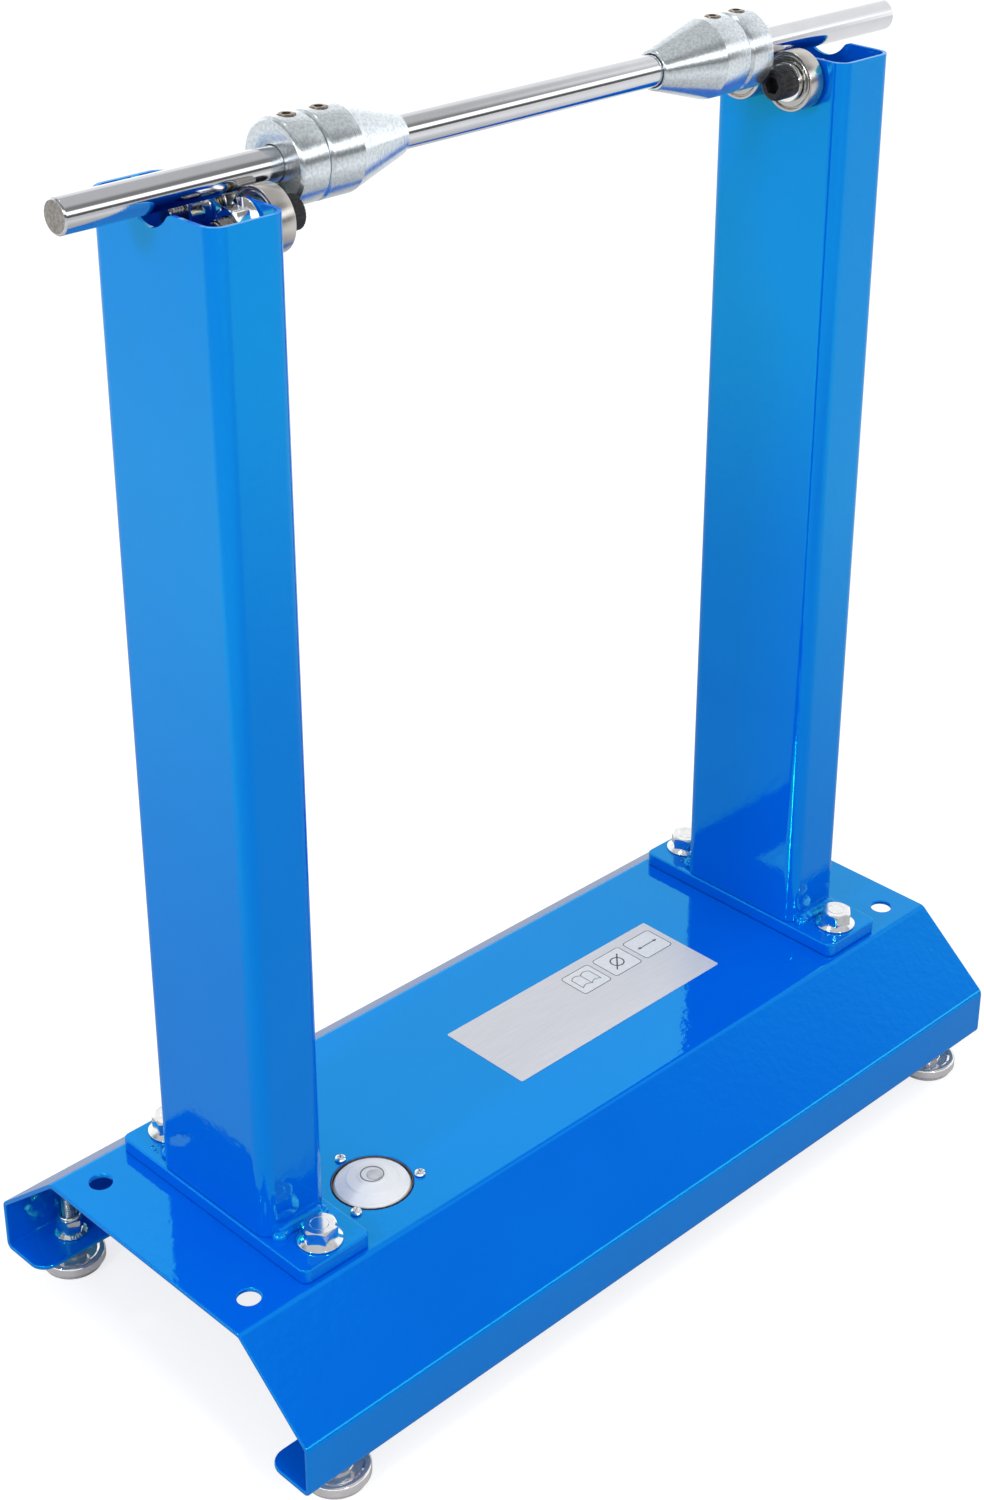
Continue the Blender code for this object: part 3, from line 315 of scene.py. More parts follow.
# The two ends, the two long sides, and each corner's name with its side and row
SIDES = {"left": -1, "right": 1}
ROWS = {"front": -1, "back": 1}
CORNERS = [(f"{side_name}_{row_name}", side, row) for side_name, side in SIDES.items()
           for row_name, row in ROWS.items()]
UNMOVED = Matrix()
UPSIDE_DOWN = Matrix.Rotation(pi, 4, "X")


def middle(node):
    """The middle of a CAD node's box."""
    low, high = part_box(node)
    return (Vector(low) + Vector(high)) / 2


BASE_LOW, BASE_HIGH = (Vector(corner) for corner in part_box("base_plate"))
BASE_TOP = BASE_HIGH.z
BASE_BOTTOM = BASE_LOW.z
AXLE_Z = middle("axle_shaft").z
POST_LOW, POST_HIGH = (Vector(corner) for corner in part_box("right_post_tube"))
POST_X = (POST_LOW.x + POST_HIGH.x) / 2
POST_INNER_X = POST_LOW.x
PLATE_TOP = POST_LOW.z - SEAT_GAP
LEVEL_PLACE = middle("level_lens")


# Meshes

def finished(shape, angle=SMOOTH_ANGLE):
    """A smooth mesh made of a bmesh, with its sharp edges kept."""
    bmesh.ops.remove_doubles(shape, verts=shape.verts, dist=WELD_DISTANCE)
    bmesh.ops.recalc_face_normals(shape, faces=shape.faces)
    mesh = bpy.data.meshes.new("mesh")
    shape.to_mesh(mesh)
    shape.free()
    mesh.shade_smooth()
    mesh.set_sharp_from_angle(angle=angle)
    return mesh


def scratch(data):
    """An object that is linked only while its modifiers are being worked out."""
    obj = bpy.data.objects.new("scratch", data)
    bpy.context.scene.collection.objects.link(obj)
    return obj


def evaluated(obj):
    """The mesh that a scratch object's modifiers make, with the object removed."""
    bpy.context.view_layer.update()
    graph = bpy.context.evaluated_depsgraph_get()
    mesh = bpy.data.meshes.new_from_object(obj.evaluated_get(graph))
    bpy.data.objects.remove(obj, do_unlink=True)
    return mesh


def cut(mesh, cutter):
    """One mesh cut by another."""
    part, tool = scratch(mesh), scratch(cutter)
    boolean = part.modifiers.new("cut", "BOOLEAN")
    boolean.operation = "DIFFERENCE"
    boolean.object = tool
    result = evaluated(part)
    bpy.data.objects.remove(tool, do_unlink=True)
    shape = bmesh.new()
    shape.from_mesh(result)
    return finished(shape)


def softened(mesh, width, steps=2):
    """A mesh with its sharp edges rounded, and its flat faces kept flat to the light."""
    part = scratch(mesh)
    bevel = part.modifiers.new("edges", "BEVEL")
    bevel.width = width
    bevel.segments = steps
    bevel.limit_method = "ANGLE"
    bevel.angle_limit = BEVEL_ANGLE
    bevel.use_clamp_overlap = True
    part.modifiers.new("flat_faces", "WEIGHTED_NORMAL").keep_sharp = False
    return evaluated(part)


def joined(pieces):
    """One mesh with a copy of each mesh at its matrix."""
    shape = bmesh.new()
    for mesh, matrix in pieces:
        copy = mesh.copy()
        copy.transform(matrix)
        shape.from_mesh(copy)
        bpy.data.meshes.remove(copy)
    mesh = bpy.data.meshes.new("joined")
    shape.to_mesh(mesh)
    shape.free()
    return mesh


def at(x, y, z=0):
    """The matrix that moves a piece to a place."""
    return Matrix.Translation((x, y, z))


def corner_arc(before, corner, after, radius, steps):
    """The points that round one corner of a flat path, by a radius that its legs leave room for."""
    corner = Vector(corner)
    back, ahead = Vector(before) - corner, Vector(after) - corner
    room = ARC_ROOM_SHARE * min(back.length, ahead.length)
    back.normalize()
    ahead.normalize()
    half = acos(max(-1, min(1, back.dot(ahead)))) / 2
    if half > ARC_ROOM_SHARE * pi or room == 0:
        return [tuple(corner)]
    radius = min(radius, room * tan(half))
    centre = corner + (back + ahead).normalized() * (radius / sin(half))
    start = corner + back * (radius / tan(half)) - centre
    end = corner + ahead * (radius / tan(half)) - centre
    first = atan2(start.y, start.x)
    sweep = (atan2(end.y, end.x) - first + pi) % (2 * pi) - pi
    turns = [first + sweep * step / steps for step in range(steps + 1)]
    return [(centre.x + radius * cos(turn), centre.y + radius * sin(turn)) for turn in turns]


def eased(path, radius, steps=EASE_STEPS, closed=False):
    """A flat path with its corners rounded. An open path keeps its ends."""
    result = []
    for index, corner in enumerate(path):
        if not closed and index in (0, len(path) - 1):
            result.append(corner)
        else:
            result.extend(corner_arc(path[index - 1], corner, path[(index + 1) % len(path)], radius, steps))
    return result


def lathe(profile, sides=FINE_SIDES, closed=False, knurl=0.0):
    """A turned mesh about Z. The profile is in radius and height, and a knurl draws in every other side."""
    shape = bmesh.new()
    rings = []
    for radius, height in profile:
        if radius <= 0:
            rings.append([shape.verts.new((0, 0, height))] * sides)
            continue
        ring = []
        for side in range(sides):
            reach = radius - (knurl if side % 4 > 1 else 0)
            turn = 2 * pi * side / sides
            ring.append(shape.verts.new((reach * cos(turn), reach * sin(turn), height)))
        rings.append(ring)
    pairs = list(zip(rings, rings[1:])) + ([(rings[-1], rings[0])] if closed else [])
    for upper, lower in pairs:
        for side in range(sides):
            after = (side + 1) % sides
            corners = list(dict.fromkeys((upper[side], lower[side], lower[after], upper[after])))
            if len(corners) > 2:
                shape.faces.new(corners)
    return finished(shape)


def pin(diameter, low, high, sides=SMALL_SIDES):
    """A plain cylinder about Z."""
    return lathe([(0, high), (diameter / 2, high), (diameter / 2, low), (0, low)], sides)


def clearance_hole(diameter, low, high, sides=SMALL_SIDES):
    """The cutter of a hole for a round piece, a seat gap wider all round."""
    return pin(diameter + 2 * SEAT_GAP, low, high, sides)


def ring(outer, inner, low, high, edge, sides=FINE_SIDES):
    """A turned ring about Z, by its diameters, with eased edges."""
    path = [(inner / 2, high), (outer / 2, high), (outer / 2, low), (inner / 2, low)]
    return lathe(eased(path, edge, closed=True), sides, closed=True)


def prism(outline, low, high):
    """A closed outline stood up from one height to another."""
    shape = bmesh.new()
    bottom = [shape.verts.new((x, y, low)) for x, y in outline]
    top = [shape.verts.new((x, y, high)) for x, y in outline]
    shape.faces.new(bottom)
    shape.faces.new(top)
    for index, vertex in enumerate(bottom):
        after = (index + 1) % len(bottom)
        shape.faces.new((vertex, bottom[after], top[after], top[index]))
    return finished(shape)


def rectangle(length, depth, radius, steps=EASE_STEPS):
    """A rectangular outline about the origin with round corners."""
    x, y = length / 2, depth / 2
    return eased([(-x, -y), (x, -y), (x, y), (-x, y)], radius, steps, closed=True)


def hexagon(width, low, high, crown, bore=0.0):
    """A hexagon about Z whose top is chamfered to a round crown, with an optional bore."""
    sides = 6 * HEX_STEPS
    shape = bmesh.new()
    slope = tan(pi / 6)
    columns = []
    for side in range(sides):
        turn = 2 * pi * side / sides
        local = turn % (pi / 3) - pi / 6
        reach = min(width / 2 / cos(local), width / 2 / cos(pi / 6) - HEX_EDGE)
        heights = [(min(crown, reach), high), (reach, high - max(0, reach - crown) * slope), (reach, low)]
        if bore:
            heights = [(bore, high - HEX_EDGE), (bore + HEX_EDGE, high), *heights, (bore, low)]
        columns.append([shape.verts.new((r * cos(turn), r * sin(turn), z)) for r, z in heights])
    caps = [] if bore else [[column[0] for column in columns], [column[-1] for column in columns]]
    for cap in caps:
        shape.faces.new(cap)
    for index, column in enumerate(columns):
        after = columns[(index + 1) % sides]
        for level in range(len(column) - 1):
            shape.faces.new((column[level], column[level + 1], after[level + 1], after[level]))
        if bore:
            shape.faces.new((column[-1], column[0], after[0], after[-1]))
    return finished(shape, HEX_SMOOTH_ANGLE)


def flange(diameter, hub, bore=0.0, teeth=0.0):
    """The conical flange of a nut or bolt, standing on zero."""
    path = [(bore, FLANGE_RISE), (hub / 2, FLANGE_RISE), (diameter / 2, FLANGE_RIM), (diameter / 2, 0),
            (bore, 0)]
    ringed = bore > 0
    return lathe(eased(path, HEX_EDGE, closed=ringed), ROUND_SIDES, closed=ringed, knurl=teeth)


def flange_nut(width, height, diameter, thread_diameter, teeth=0.0):
    """A flange nut standing on zero."""
    bore = thread_diameter / 2 + SEAT_GAP
    return joined([(hexagon(width, FLANGE_RIM, height, NUT_CROWN_SHARE * width / 2, bore), UNMOVED),
                   (flange(diameter, width, bore, teeth), UNMOVED)])


def thread(diameter, pitch, low, high, sides=SMALL_SIDES):
    """A screw thread about Z: one helical strip that fades out at its ends, on a core."""
    crest = diameter / 2
    root = crest - THREAD_DEPTH_SHARE * pitch
    shape = bmesh.new()
    crests, roots = [], []
    steps = int((high - low) / pitch * sides)
    for step in range(steps + 1):
        turn, height = 2 * pi * step / sides, low + pitch * step / sides
        fade = max(0, min(1, (height - low) / pitch, (high - height) / pitch))
        reach = root + (crest - root) * fade
        crests.append(shape.verts.new((reach * cos(turn), reach * sin(turn), height)))
        rise = min(height + pitch / 2, high)
        roots.append(shape.verts.new((root * cos(turn), root * sin(turn), rise)))
    for step in range(steps):
        shape.faces.new((crests[step], crests[step + 1], roots[step + 1], roots[step]))
        above = step + sides
        if above + 1 <= steps:
            shape.faces.new((roots[step], roots[step + 1], crests[above + 1], crests[above]))
    strip = finished(shape)
    core_path = [(0, high), (root, high), (root, low), (0, low)]
    core = lathe(eased(core_path, THREAD_END_SHARE * pitch), sides)
    return joined([(core, UNMOVED), (strip, UNMOVED)])


def bead(points, radius):
    """A lumpy painted bead along flat points: each point has a place and a share of the radius."""
    shape = bmesh.new()
    turns = [2 * pi * side / BEAD_SIDES for side in range(BEAD_SIDES)]
    loops = []
    for place, share in points:
        loops.append([shape.verts.new(place + Vector((0, cos(t), sin(t))) * radius * share) for t in turns])
    for loop, after in zip(loops, loops[1:]):
        for side in range(BEAD_SIDES):
            follow = (side + 1) % BEAD_SIDES
            shape.faces.new((loop[side], loop[follow], after[follow], after[side]))
    shape.faces.new(loops[0])
    shape.faces.new(loops[-1])
    return finished(shape, pi / 2)


def drop(place, radius, height_share):
    """A small round lump."""
    shape = bmesh.new()
    matrix = Matrix.Translation(place) @ Matrix.Diagonal((radius, radius, radius * height_share, 1))
    bmesh.ops.create_icosphere(shape, subdivisions=DROP_SUBDIVISIONS, radius=1, matrix=matrix)
    return finished(shape, pi)


# Finishes

class Nodes:
    """Shader nodes added to a tree."""

    def __init__(self, tree):
        self.tree = tree

    def set(self, node, **values):
        """Set a node's sockets by name, with an underscore for each space."""
        for name, value in values.items():
            node.inputs[name.replace("_", " ")].default_value = value

    def node(self, kind, **values):
        """A new node with its sockets set."""
        node = self.tree.nodes.new("ShaderNode" + kind)
        self.set(node, **values)
        return node

    def link(self, output, target):
        """Link an output to an input."""
        self.tree.links.new(output, target)

    def feed(self, values, targets):
        """Give each input its value, or its link where the value is a socket."""
        for value, target in zip(values, targets):
            if isinstance(value, bpy.types.NodeSocket):
                self.link(value, target)
            else:
                target.default_value = value

    def split(self, vector):
        """The X, Y and Z of a vector."""
        split = self.node("SeparateXYZ")
        self.link(vector, split.inputs["Vector"])
        return [split.outputs[axis] for axis in "XYZ"]

    def paired(self, x, y):
        """A flat vector of two values."""
        vector = self.node("CombineXYZ")
        self.feed((x, y), vector.inputs)
        return vector.outputs["Vector"]

    def math(self, operation, *values):
        """A sum of values or sockets."""
        math = self.node("Math")
        math.operation = operation
        self.feed(values, math.inputs)
        return math.outputs["Value"]

    def vector_math(self, operation, *vectors, scale=None):
        """A sum of vectors or vector sockets."""
        math = self.node("VectorMath")
        math.operation = operation
        self.feed(vectors, math.inputs)
        if scale is not None:
            self.set(math, Scale=scale)
        return math.outputs["Value" if operation in ("LENGTH", "DOT_PRODUCT") else "Vector"]

    def mix(self, kind, factor, first, second):
        """A mix of two values or two colours."""
        mix = self.node("Mix")
        mix.data_type = kind
        self.feed((factor, first, second), [mix.inputs[name] for name in ("Factor", "A", "B")])
        return mix.outputs["Result"]

    def mix_shaders(self, factor, first, second):
        """A mix of two shaders."""
        mix = self.node("MixShader")
        self.feed((factor, first, second), mix.inputs)
        return mix.outputs["Shader"]

    def ramp(self, value, stops):
        """Colours by value, as (position, colour) stops."""
        ramp = self.node("ValToRGB")
        elements = ramp.color_ramp.elements
        while len(elements) < len(stops):
            elements.new(0.5)
        for element, (position, color) in zip(elements, stops):
            element.position = position
            element.color = (*color, 1)
        self.link(value, ramp.inputs["Fac"])
        return ramp.outputs["Color"]

    def spread(self, value, start, end, low, high):
        """A value eased from one range to another."""
        spread = self.node("MapRange", From_Min=start, From_Max=end, To_Min=low, To_Max=high)
        spread.interpolation_type = "SMOOTHSTEP"
        self.link(value, spread.inputs["Value"])
        return spread.outputs["Result"]


class Finish(Nodes):
    """A Principled material that is built up from nodes."""

    def __init__(self, name, color, roughness, metallic=0.0):
        self.material = bpy.data.materials.new(name)
        self.material.use_nodes = True
        super().__init__(self.material.node_tree)
        self.shader = self.tree.nodes["Principled BSDF"]
        self.set(self.shader, Base_Color=(*color, 1), Roughness=roughness, Metallic=metallic)
        self.bumps = None

    def place(self, scale=(1, 1, 1)):
        """The piece's own coordinates, stretched by a scale."""
        mapping = self.node("Mapping", Scale=scale)
        self.link(self.node("TexCoord").outputs["Object"], mapping.inputs["Vector"])
        return mapping.outputs["Vector"]

    def turned_place(self, ring_scale, angle_scale):
        """Coordinates that vary with the distance from the turning axis, along it and a little round it."""
        x, y, z = self.split(self.node("TexCoord").outputs["Object"])
        flat = self.paired(x, y)
        along = self.paired(self.vector_math("LENGTH", flat), z)
        around = self.vector_math("NORMALIZE", flat)
        return self.vector_math("ADD", self.vector_math("SCALE", along, scale=ring_scale),
                                self.vector_math("SCALE", around, scale=angle_scale))

    def noise(self, vector, scale, detail=2.0):
        """Noise over coordinates."""
        noise = self.node("TexNoise", Scale=scale, Detail=detail)
        self.link(vector, noise.inputs["Vector"])
        return noise.outputs["Fac"]

    def bump(self, height, strength, distance):
        """Add a relief on top of the ones before it."""
        bump = self.node("Bump", Strength=strength, Distance=distance)
        self.link(height, bump.inputs["Height"])
        if self.bumps:
            self.link(self.bumps, bump.inputs["Normal"])
        self.bumps = bump.outputs["Normal"]
        self.link(self.bumps, self.shader.inputs["Normal"])

    def vary_color(self, value, stops):
        """Let the base colour follow a value."""
        self.link(self.ramp(value, stops), self.shader.inputs["Base Color"])

    def vary_roughness(self, value, low, high):
        """Let the roughness follow a value between two limits."""
        spread = self.node("MapRange", To_Min=low, To_Max=high)
        self.link(value, spread.inputs["Value"])
        self.link(spread.outputs["Result"], self.shader.inputs["Roughness"])


def paint():
    """Gloss blue powder coat with a slight orange peel."""
    finish = Finish("gloss_blue_paint", (0.0, 0.118, 0.82), 0.05)
    bare = ((PAINT_INDEX - 1) / (PAINT_INDEX + 1)) ** 2
    tint = [share / bare for share in PAINT_MIRROR]
    finish.set(finish.shader, Specular_Tint=(*tint, 1), IOR=PAINT_INDEX)
    place = finish.place()
    finish.bump(finish.noise(place, 190, 1.0), 0.07, 0.0010)
    finish.bump(finish.noise(place, 480, 1.0), 0.16, 0.0002)
    finish.vary_color(finish.noise(place, 14), [(0.3, (0.0, 0.114, 0.81)), (0.7, (0.0, 0.122, 0.83))])
    finish.vary_roughness(finish.noise(place, 60), 0.035, 0.07)
    return finish.material


def plated(name, dark, light, roughness, ring_bump):
    """Turned and zinc plated steel: fine tool rings under a slightly mottled plate."""
    finish = Finish(name, light, roughness, 0.9)
    rings = finish.turned_place(1100, 0.25)
    mottle = finish.place()
    finish.bump(finish.noise(rings, 1.0, 3.0), ring_bump, 0.0002)
    finish.bump(finish.noise(mottle, 1300, 2.0), 0.045, 0.0002)
    finish.vary_color(finish.noise(mottle, 700, 3.0), [(0.35, dark), (0.60, light)])
    finish.vary_roughness(finish.noise(mottle, 800, 3.0), roughness * 0.8, roughness * 1.3)
    return finish.material


def ground(name, color, roughness, pitch):
    """Steel ground on its round faces."""
    finish = Finish(name, color, roughness, 1.0)
    rings = finish.turned_place(pitch, 0.2)
    lines = finish.noise(rings, 1.0, 2.0)
    finish.bump(lines, 0.10, 0.00012)
    dark = tuple(0.95 * value for value in color)
    finish.vary_color(finish.noise(finish.place(), 90, 3.0), [(0.3, dark), (0.7, color)])
    finish.vary_roughness(lines, roughness * 0.8, roughness * 1.3)
    return finish.material


def mottled(name, dark, light, roughness, metallic, scale, relief=0.08):
    """A cast, moulded or chemical finish: mottled in colour and relief."""
    finish = Finish(name, light, roughness, metallic)
    place = finish.place()
    cloud = finish.noise(place, scale, 3.0)
    finish.bump(finish.noise(place, 3 * scale, 2.0), relief, 0.0003)
    finish.vary_color(cloud, [(0.35, dark), (0.65, light)])
    finish.vary_roughness(cloud, roughness * 0.85, roughness * 1.2)
    return finish.material


def clear(name, color, roughness, alpha):
    """A clear moulding or a bubble, thin enough to let light straight through."""
    finish = Finish(name, color, roughness)
    finish.set(finish.shader, Alpha=alpha)
    finish.vary_roughness(finish.noise(finish.place(), 150), roughness * 0.6, roughness * 1.4)
    return finish.material


def brushed(name, dark, light, roughness, metallic):
    """A satin plate brushed along X."""
    finish = Finish(name, light, roughness, metallic)
    streaks = finish.noise(finish.place((60, 2600, 60)), 1.0, 2.0)
    finish.bump(streaks, 0.04, 0.0002)
    finish.vary_color(streaks, [(0.3, dark), (0.7, light)])
    finish.vary_roughness(streaks, roughness * 0.85, roughness * 1.2)
    return finish.material


PAINT = paint()
TURNED = plated("turned_zinc_plate", (0.60, 0.66, 0.70), (0.76, 0.82, 0.86), 0.18, 0.40)
ZINC = mottled("bright_zinc_plate", (0.80, 0.82, 0.83), (0.93, 0.94, 0.94), 0.11, 1.0, 300, 0.04)
STUD_ZINC = mottled("zinc_plated_thread", (0.46, 0.47, 0.48), (0.62, 0.63, 0.64), 0.22, 1.0, 500)
SAWN_STEEL = mottled("sawn_steel_end", (0.24, 0.22, 0.20), (0.40, 0.38, 0.36), 0.45, 0.8, 700, 0.2)
# Painted glint: the screw's black oxide made lighter grey on its thread, for the light its crests catch
SCREW_THREAD_GLINT_GREY = mottled("black_oxide_thread_lightened_for_glint", (0.30, 0.29, 0.28), (0.42, 0.41, 0.40), 0.20, 1.0, 500)
SHAFT_STEEL = ground("ground_shaft_steel", (0.72, 0.73, 0.76), 0.09, 3200)
RING_STEEL = ground("ground_bearing_steel", (0.60, 0.57, 0.54), 0.24, 2400)
SHIELD_STEEL = ground("pressed_shield_steel", (0.50, 0.49, 0.46), 0.20, 1500)
BALL_STEEL = mottled("polished_ball_steel", (0.58, 0.58, 0.60), (0.70, 0.70, 0.72), 0.08, 1.0, 400, 0.01)
YELLOW_ZINC = mottled("yellow_zinc_plate", (0.60, 0.48, 0.24), (0.72, 0.66, 0.42), 0.28, 1.0, 500)
BLACK_OXIDE = mottled("black_oxide", (0.012, 0.012, 0.014), (0.030, 0.030, 0.034), 0.34, 0.5, 700)
BRONZED = mottled("bronzed_set_screw", (0.16, 0.12, 0.09), (0.34, 0.27, 0.21), 0.28, 0.95, 700)
CHROME = mottled("polished_chrome", (0.80, 0.77, 0.77), (0.88, 0.85, 0.85), 0.10, 0.75, 120, 0.01)
PAD_GREY = mottled("grey_moulding", (0.46, 0.44, 0.46), (0.56, 0.54, 0.56), 0.50, 0.0, 500)
LEVEL_WHITE = mottled("white_moulding", (0.92, 0.93, 0.94), (0.96, 0.97, 0.97), 0.30, 0.0, 90, 0.03)
# Painted shade: a dark brown for the ring on the level's hole wall, which lies in shadow under the lens
SHADE_RING_DARK = mottled("painted_shade_ring", (0.10, 0.075, 0.06), (0.18, 0.14, 0.12), 0.25, 0.7, 300)
LENS_CLEAR = clear("clear_moulding", (0.86, 0.87, 0.88), 0.03, 0.14)
BUBBLE_CLEAR = clear("bubble_skin", (0.98, 0.98, 0.98), 0.02, 0.45)
PLATE_SILVER = brushed("silver_plate", (0.66, 0.67, 0.70), (0.74, 0.75, 0.78), 0.38, 0.2)
BOX_WHITE = mottled("white_print", (0.78, 0.80, 0.82), (0.84, 0.86, 0.88), 0.40, 0.0, 400, 0.01)
# Grey ink for the printed marks, also used as painted shade round the level's bubble
INK_AND_SHADE_GREY = mottled("grey_ink_and_painted_rim_shade", (0.07, 0.075, 0.085), (0.10, 0.105, 0.115), 0.45, 0.0, 600, 0.01)


# Pieces

def add(name, mesh, material, node=None, matrix=UNMOVED, body="stand"):
    """Put one piece in the scene, riding on a body, in place of the CAD node that it stands for."""
    mesh.materials.clear()
    mesh.materials.append(material)
    piece = bpy.data.objects.new(name, mesh)
    bpy.context.scene.collection.objects.link(piece)
    piece.matrix_world = matrix
    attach(piece, body)
    if node:
        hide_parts(node)
    return piece


def towards_wheel(side, place):
    """The frame at a place whose Z axis points along the axle towards the wheel."""
    return Matrix.Translation(place) @ Matrix.Rotation(-side * pi / 2, 4, "Y")


def twist(kind, side, row):
    """A screw's turn round its own axis."""
    by_side, by_row = TWISTS[kind]
    return Matrix.Rotation(by_side * side + by_row * row, 4, "Z")


def sheet_path(shift):
    """The base sheet's section in Y and Z, at a depth under its outer skin, from lip to lip."""
    y, knee = BASE_HIGH.y, BASE_TOP - SLOPE_DROP
    half = [(y - FLANGE_WIDTH, BASE_BOTTOM), (y, BASE_BOTTOM), (y, knee), (TOP_HALF_WIDTH, BASE_TOP)]
    skin = [Vector(point) for point in half] + [Vector((-y, z)) for y, z in reversed(half)]
    half_radii = [FLANGE_FOLD_RADIUS, FOLD_RADIUS, FOLD_RADIUS]
    radii = half_radii + half_radii[::-1]
    normals = []
    for start, end in zip(skin, skin[1:]):
        along = (end - start).normalized()
        normals.append(Vector((-along.y, along.x)))
    corners = [skin[0] + normals[0] * shift]
    for corner, before, after in zip(skin[1:], normals, normals[1:]):
        corners.append(corner + (before + after) * (shift / (1 + before.dot(after))))
    corners.append(skin[-1] + normals[-1] * shift)
    path = [tuple(corners[0])]
    for before, corner, after, radius in zip(corners, corners[1:], corners[2:], radii):
        path.extend(corner_arc(before, corner, after, radius - shift, FOLD_STEPS))
    path.append(tuple(corners[-1]))
    return path


def across(x):
    """The matrix that stands a flat Y, Z outline across the X axis, with its height along X."""
    return Matrix(((0, 0, 1, x), (1, 0, 0, 0), (0, 1, 0, 0), (0, 0, 0, 1)))


def build_base():
    """The folded base sheet with its holes and painted edges."""
    sheet = prism(sheet_path(0) + sheet_path(SHEET)[::-1], -BASE_HIGH.x, BASE_HIGH.x)
    sheet.transform(across(0))
    top = (BASE_TOP - SHEET - CUT_OVERRUN, BASE_TOP + CUT_OVERRUN)
    bottom = (BASE_BOTTOM - CUT_OVERRUN, BASE_BOTTOM + SHEET + CUT_OVERRUN)
    fixing_x, fixing_y = BASE_HIGH.x - FIXING_HOLE_TO_END, TOP_HALF_WIDTH - FIXING_HOLE_TO_FOLD
    cutters = []
    for name, side, row in CORNERS:
        bolt, foot = middle(name + "_post_bolt"), middle(name + "_foot")
        cutters.append((pin(FIXING_HOLE_DIAMETER, *top), at(side * fixing_x, row * fixing_y)))
        cutters.append((clearance_hole(M10, *top), at(bolt.x, bolt.y)))
        cutters.append((clearance_hole(M8, *bottom), at(foot.x, foot.y)))
        x, y = side * BASE_HIGH.x, row * (BASE_HIGH.y - FLANGE_WIDTH)
        inward_x, inward_y = x - side * FLANGE_CORNER_RADIUS, y + row * FLANGE_CORNER_RADIUS
        arc = corner_arc((x, inward_y), (x, y), (inward_x, y), FLANGE_CORNER_RADIUS, FOLD_STEPS)
        past_x, past_y = x + side * CUT_OVERRUN, y - row * CUT_OVERRUN
        outline = [(past_x, inward_y), *arc, (inward_x, past_y), (past_x, past_y)]
        cutters.append((prism(outline, *bottom), UNMOVED))
    cutters.append((clearance_hole(LEVEL, *top, FINE_SIDES), at(LEVEL_PLACE.x, LEVEL_PLACE.y)))
    cutters += [(clearance_hole(M3, *top), at(*place)) for place in level_screw_places()]
    sheet = softened(cut(sheet, joined(cutters)), PAINTED_EDGE)
    add("painted_base", sheet, PAINT, "base_plate")


def notch_outline():
    """The notch's cutter in Y and Z: a round seat under the axle with rolled lips."""
    lip_z = POST_HIGH.z - NOTCH_LIP_RADIUS
    centre_z = POST_HIGH.z - NOTCH_DEPTH + NOTCH_RADIUS
    lip_y = sqrt((NOTCH_RADIUS + NOTCH_LIP_RADIUS) ** 2 - (centre_z - lip_z) ** 2)
    join = atan2(centre_z - lip_z, lip_y)
    lip_turns = [pi / 2 + (pi / 2 - join) * step / FOLD_STEPS for step in range(FOLD_STEPS + 1)]
    lip = [(lip_y + NOTCH_LIP_RADIUS * cos(turn), lip_z + NOTCH_LIP_RADIUS * sin(turn)) for turn in lip_turns]
    steps = 3 * FOLD_STEPS
    seat_turns = [-join - (pi - 2 * join) * step / steps for step in range(1, steps)]
    seat = [(NOTCH_RADIUS * cos(turn), centre_z + NOTCH_RADIUS * sin(turn)) for turn in seat_turns]
    past = POST_HIGH.z + CUT_OVERRUN
    return [(lip_y, past), *lip, *seat, *[(-y, z) for y, z in reversed(lip)], (-lip_y, past)]


def build_posts():
    """The two painted tubes on their foot plates, with the welds between them."""
    length, depth = POST_HIGH.x - POST_LOW.x, 2 * (POST_HIGH.y + POST_PAST_CAD)
    outside = rectangle(length, depth, POST_CORNER_RADIUS, FOLD_STEPS)
    inside = rectangle(length - 2 * POST_WALL, depth - 2 * POST_WALL, POST_CORNER_RADIUS - POST_WALL,
                       FOLD_STEPS)
    for name, side in SIDES.items():
        tube = cut(prism(outside, POST_LOW.z, POST_HIGH.z),
                   prism(inside, POST_LOW.z - CUT_OVERRUN, POST_HIGH.z + CUT_OVERRUN))
        notch = prism(notch_outline(), -length / 2 - CUT_OVERRUN, length / 2 + CUT_OVERRUN)
        notch.transform(across(0))
        tube = cut(tube, notch)
        holes = []
        for row_name in ROWS:
            bearing = middle(f"{name}_{row_name}_outer_ring")
            place = towards_wheel(side, (-side * length / 2, bearing.y, bearing.z))
            holes.append((clearance_hole(M10, -POST_WALL - CUT_OVERRUN, CUT_OVERRUN), place))
        tube = softened(cut(tube, joined(holes)), TUBE_EDGE)
        here = at(side * POST_X, 0)
        tube.transform(here)
        add(name + "_painted_post", tube, PAINT, name + "_post_tube")
        build_foot_plate(name, here)
        build_welds(name, here)


def build_foot_plate(name, here):
    """One foot plate with its bolt holes."""
    low, high = (Vector(corner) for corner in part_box(name + "_foot_plate"))
    past = 2 * PLATE_PAST_CAD
    outline = rectangle(high.x - low.x + past, high.y - low.y + past, PLATE_CORNER_RADIUS, FOLD_STEPS)
    bolt_y = middle(name + "_back_post_bolt").y
    hole = clearance_hole(M10, low.z - CUT_OVERRUN, PLATE_TOP + CUT_OVERRUN)
    holes = joined([(hole, at(0, row * bolt_y)) for row in ROWS.values()])
    plate = softened(cut(prism(outline, low.z, PLATE_TOP), holes), PAINTED_EDGE, PLATE_EDGE_STEPS)
    plate.transform(here)
    add(name + "_painted_foot_plate", plate, PAINT, name + "_foot_plate")


